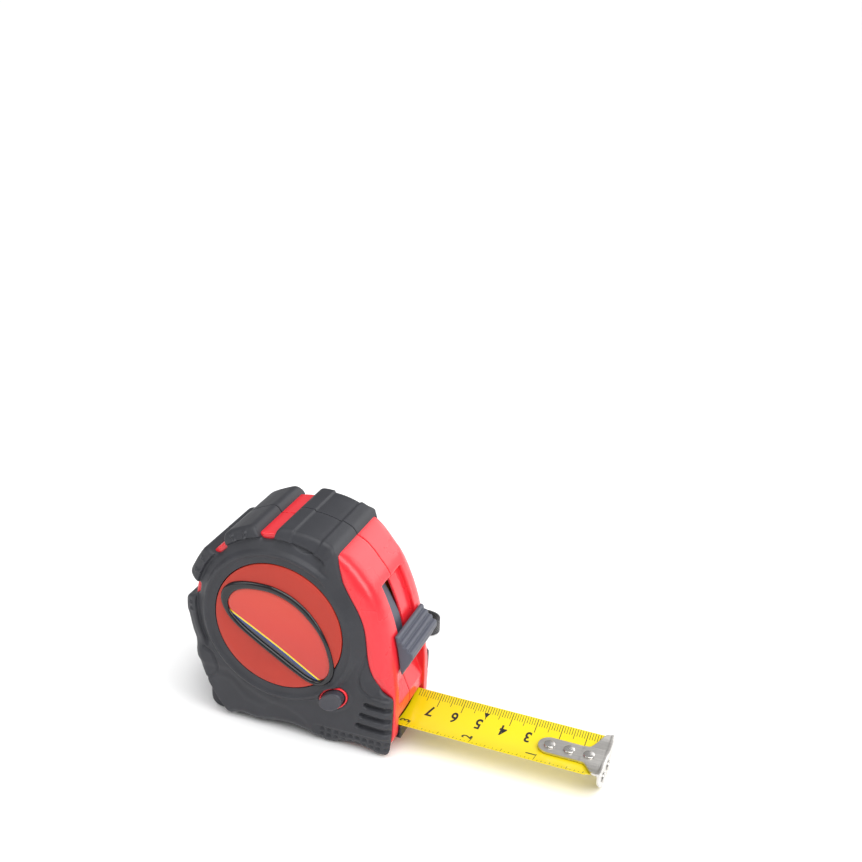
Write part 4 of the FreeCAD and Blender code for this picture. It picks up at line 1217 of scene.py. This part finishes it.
vs, fs = [], []
for x in (103.3, 111.0, 118.7):
    turned(vs, fs, x, 0, TZ + HT, button_head(2.2, 0.62, 0.34, 1.2, TZ + HT - 9.86))
mesh_piece("hook_rivet_heads", vs, fs, M["rivet_polished"], "blade", ("hook_rivets",))
vs, fs = [], []
for y in (-3.8, 3.8):
    turned(vs, fs, 125.5, y, 6.4, button_head(2.0, 0.55, 0.3), "x")
mesh_piece("hook_magnet_discs", vs, fs, M["rivet_polished"], "hook", ("hook_magnets",))

# ------------------------------------------------------------------ belt clip
YC, CT, GAP = 22.2, 0.9, 5.4


def clip_fn(X, Y, Z):
    X, Y, Z = np.broadcast_arrays(X, Y, Z)
    yc = YC + CT / 2
    yo = YC + CT + GAP + CT / 2
    ym = (yc + yo) / 2
    ra = (yo - yc) / 2
    plate = np.maximum(np.abs(Y - yc) - CT / 2, np.maximum(42.0 - Z, Z - 76.0))
    leg = np.maximum(np.abs(Y - yo) - CT / 2, np.maximum(37.0 - Z, Z - 76.0))
    bend = np.maximum(np.abs(np.hypot(Y - ym, Z - 76.0) - ra) - CT / 2, 76.0 - Z)
    t = (37.0 - Z) / 5.5
    toe = np.maximum(np.abs(Y - yo - 2.2 * t) - CT / 2, np.maximum(Z - 37.0, 31.5 - Z))
    F = np.minimum(np.minimum(plate, leg), np.minimum(bend, toe))
    w = 9.0 - 1.6 * (1 - sst(31.5, 36.0, Z)) * (Y > 26)
    F = smax(F, np.abs(X) - w, 0.5)
    r_ = np.hypot(X, Z - CZ)
    F = smax(F, -np.maximum(r_ - 3.6, 26 - Y), 0.4)
    F = np.maximum(F, -np.maximum(r_ - 3.1, Y - 24))
    return F


sdf_piece("belt_clip_spring", (-10.2, 21.4, 30.4), (10.2, 33.2, 81.0), 0.25, clip_fn, M["clip_nickel"], "case", ("belt_clip",), 90000)


def screw_head(vs, fs, x, y, z, r, side=1, n=48, dish=0.25, cross=True):
    """countersunk head seen from +Y; left empty, it builds nothing"""
    pass


# ------------------------------------------------------------------ wrist strap
route = [(-33.5, -2.6), (-37.5, -2.2), (-42.5, 1.2), (-47.0, 8.5), (-49.0, 19.0), (-46.5, 32.0),
         (-38.5, 46.0), (-25.5, 57.5), (-9.5, 66.2), (5.5, 71.8), (16.5, 75.0), (25.0, 76.3),
         (31.0, 74.6), (32.2, 69.6), (27.4, 65.8), (18.5, 65.0), (7.0, 62.4), (-6.5, 57.2),
         (-20.5, 49.6), (-32.0, 39.6), (-39.2, 28.0), (-41.8, 17.5), (-40.8, 9.5), (-37.6, 4.2),
         (-33.5, 2.6)]
cu = bpy.data.curves.new("strap_route", "CURVE")
cu.dimensions = "3D"
sp = cu.splines.new("NURBS")
sp.points.add(len(route) - 1)
zr = [3.8] * len(route)
for p, (x, y), z in zip(sp.points, route, zr):
    q = row((x, y, z))
    p.co = (q[0], q[1], q[2], 1.0)
sp.order_u = 3
sp.use_endpoint_u = True
sp.resolution_u = 16
tmp = bpy.data.objects.new("strap_route", cu)
bpy.context.scene.collection.objects.link(tmp)
dg = bpy.context.evaluated_depsgraph_get()
tme = bpy.data.meshes.new_from_object(tmp.evaluated_get(dg))
pts = np.array([v.co[:] for v in tme.vertices]) * 1000 - OFF
bpy.data.objects.remove(tmp)
seg = np.r_[0, np.cumsum(np.linalg.norm(np.diff(pts, axis=0), axis=1))]
N_ = 420
tt = np.linspace(0, seg[-1], N_)
C = np.stack([np.interp(tt, seg, pts[:, k]) for k in range(3)], 1)
T = np.gradient(C, axis=0)
T /= np.linalg.norm(T, axis=1)[:, None]
W, TH = 7.0, 1.3
# cross-section: a flat ribbon with fine ribs running along it
prof = []
nr = 7
for i in range(nr * 4 + 1):
    u = -W / 2 + W * i / (nr * 4)
    edge_ = min(1.0, (W / 2 - abs(u)) / 0.5)
    prof.append((u, TH / 2 * (0.72 + 0.28 * math.sqrt(max(edge_, 0)) * 1.0) * 1.0 - 0.12 * (0.5 + 0.5 * math.cos(2 * math.pi * i / 4))))
prof = prof + [(u, -t) for u, t in prof[::-1]]
vs, fs = [], []
for i in range(N_):
    n_ = np.cross([0, 0, 1], T[i])
    n_ /= np.linalg.norm(n_)
    wdir = np.array([0, 0, 1.0])
    for u, t in prof:
        vs.append(C[i] + wdir * u + n_ * t)
m = len(prof)
for i in range(N_ - 1):
    for j in range(m):
        fs.append((i * m + j, (i + 1) * m + j, (i + 1) * m + (j + 1) % m, i * m + (j + 1) % m))
fs.append(tuple(range(m)))
fs.append(tuple((N_ - 1) * m + j for j in range(m))[::-1])
strap = mesh_piece("wrist_strap_ribbon", vs, fs, M["strap_woven"], "case", ("wrist_strap",))

# ------------------------------------------------------------------ materials of the CAD pieces that stay
KEEP = {"case_screws": "screw_zinc", "belt_clip_screw": "screw_zinc", "strap_pin": "screw_zinc", "spool_axle": "spool_abs",
        "spool_drum": "spool_abs", "drum_cap": "spool_abs", "power_spring": "spring_blue_steel",
        "blade_coil": "blade_lacquer", "blade_throat": "blade_lacquer", 
        "lock_brake_shoe": "lock_slate_abs", "button_stem": "button_slate_abs", "brake_pad": "grip_rubber_matte",
        "button_spring": "spring_blue_steel"}
for n, k in KEEP.items():
    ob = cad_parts[n]
    for s_ in ob.material_slots:
        s_.material = M[k]
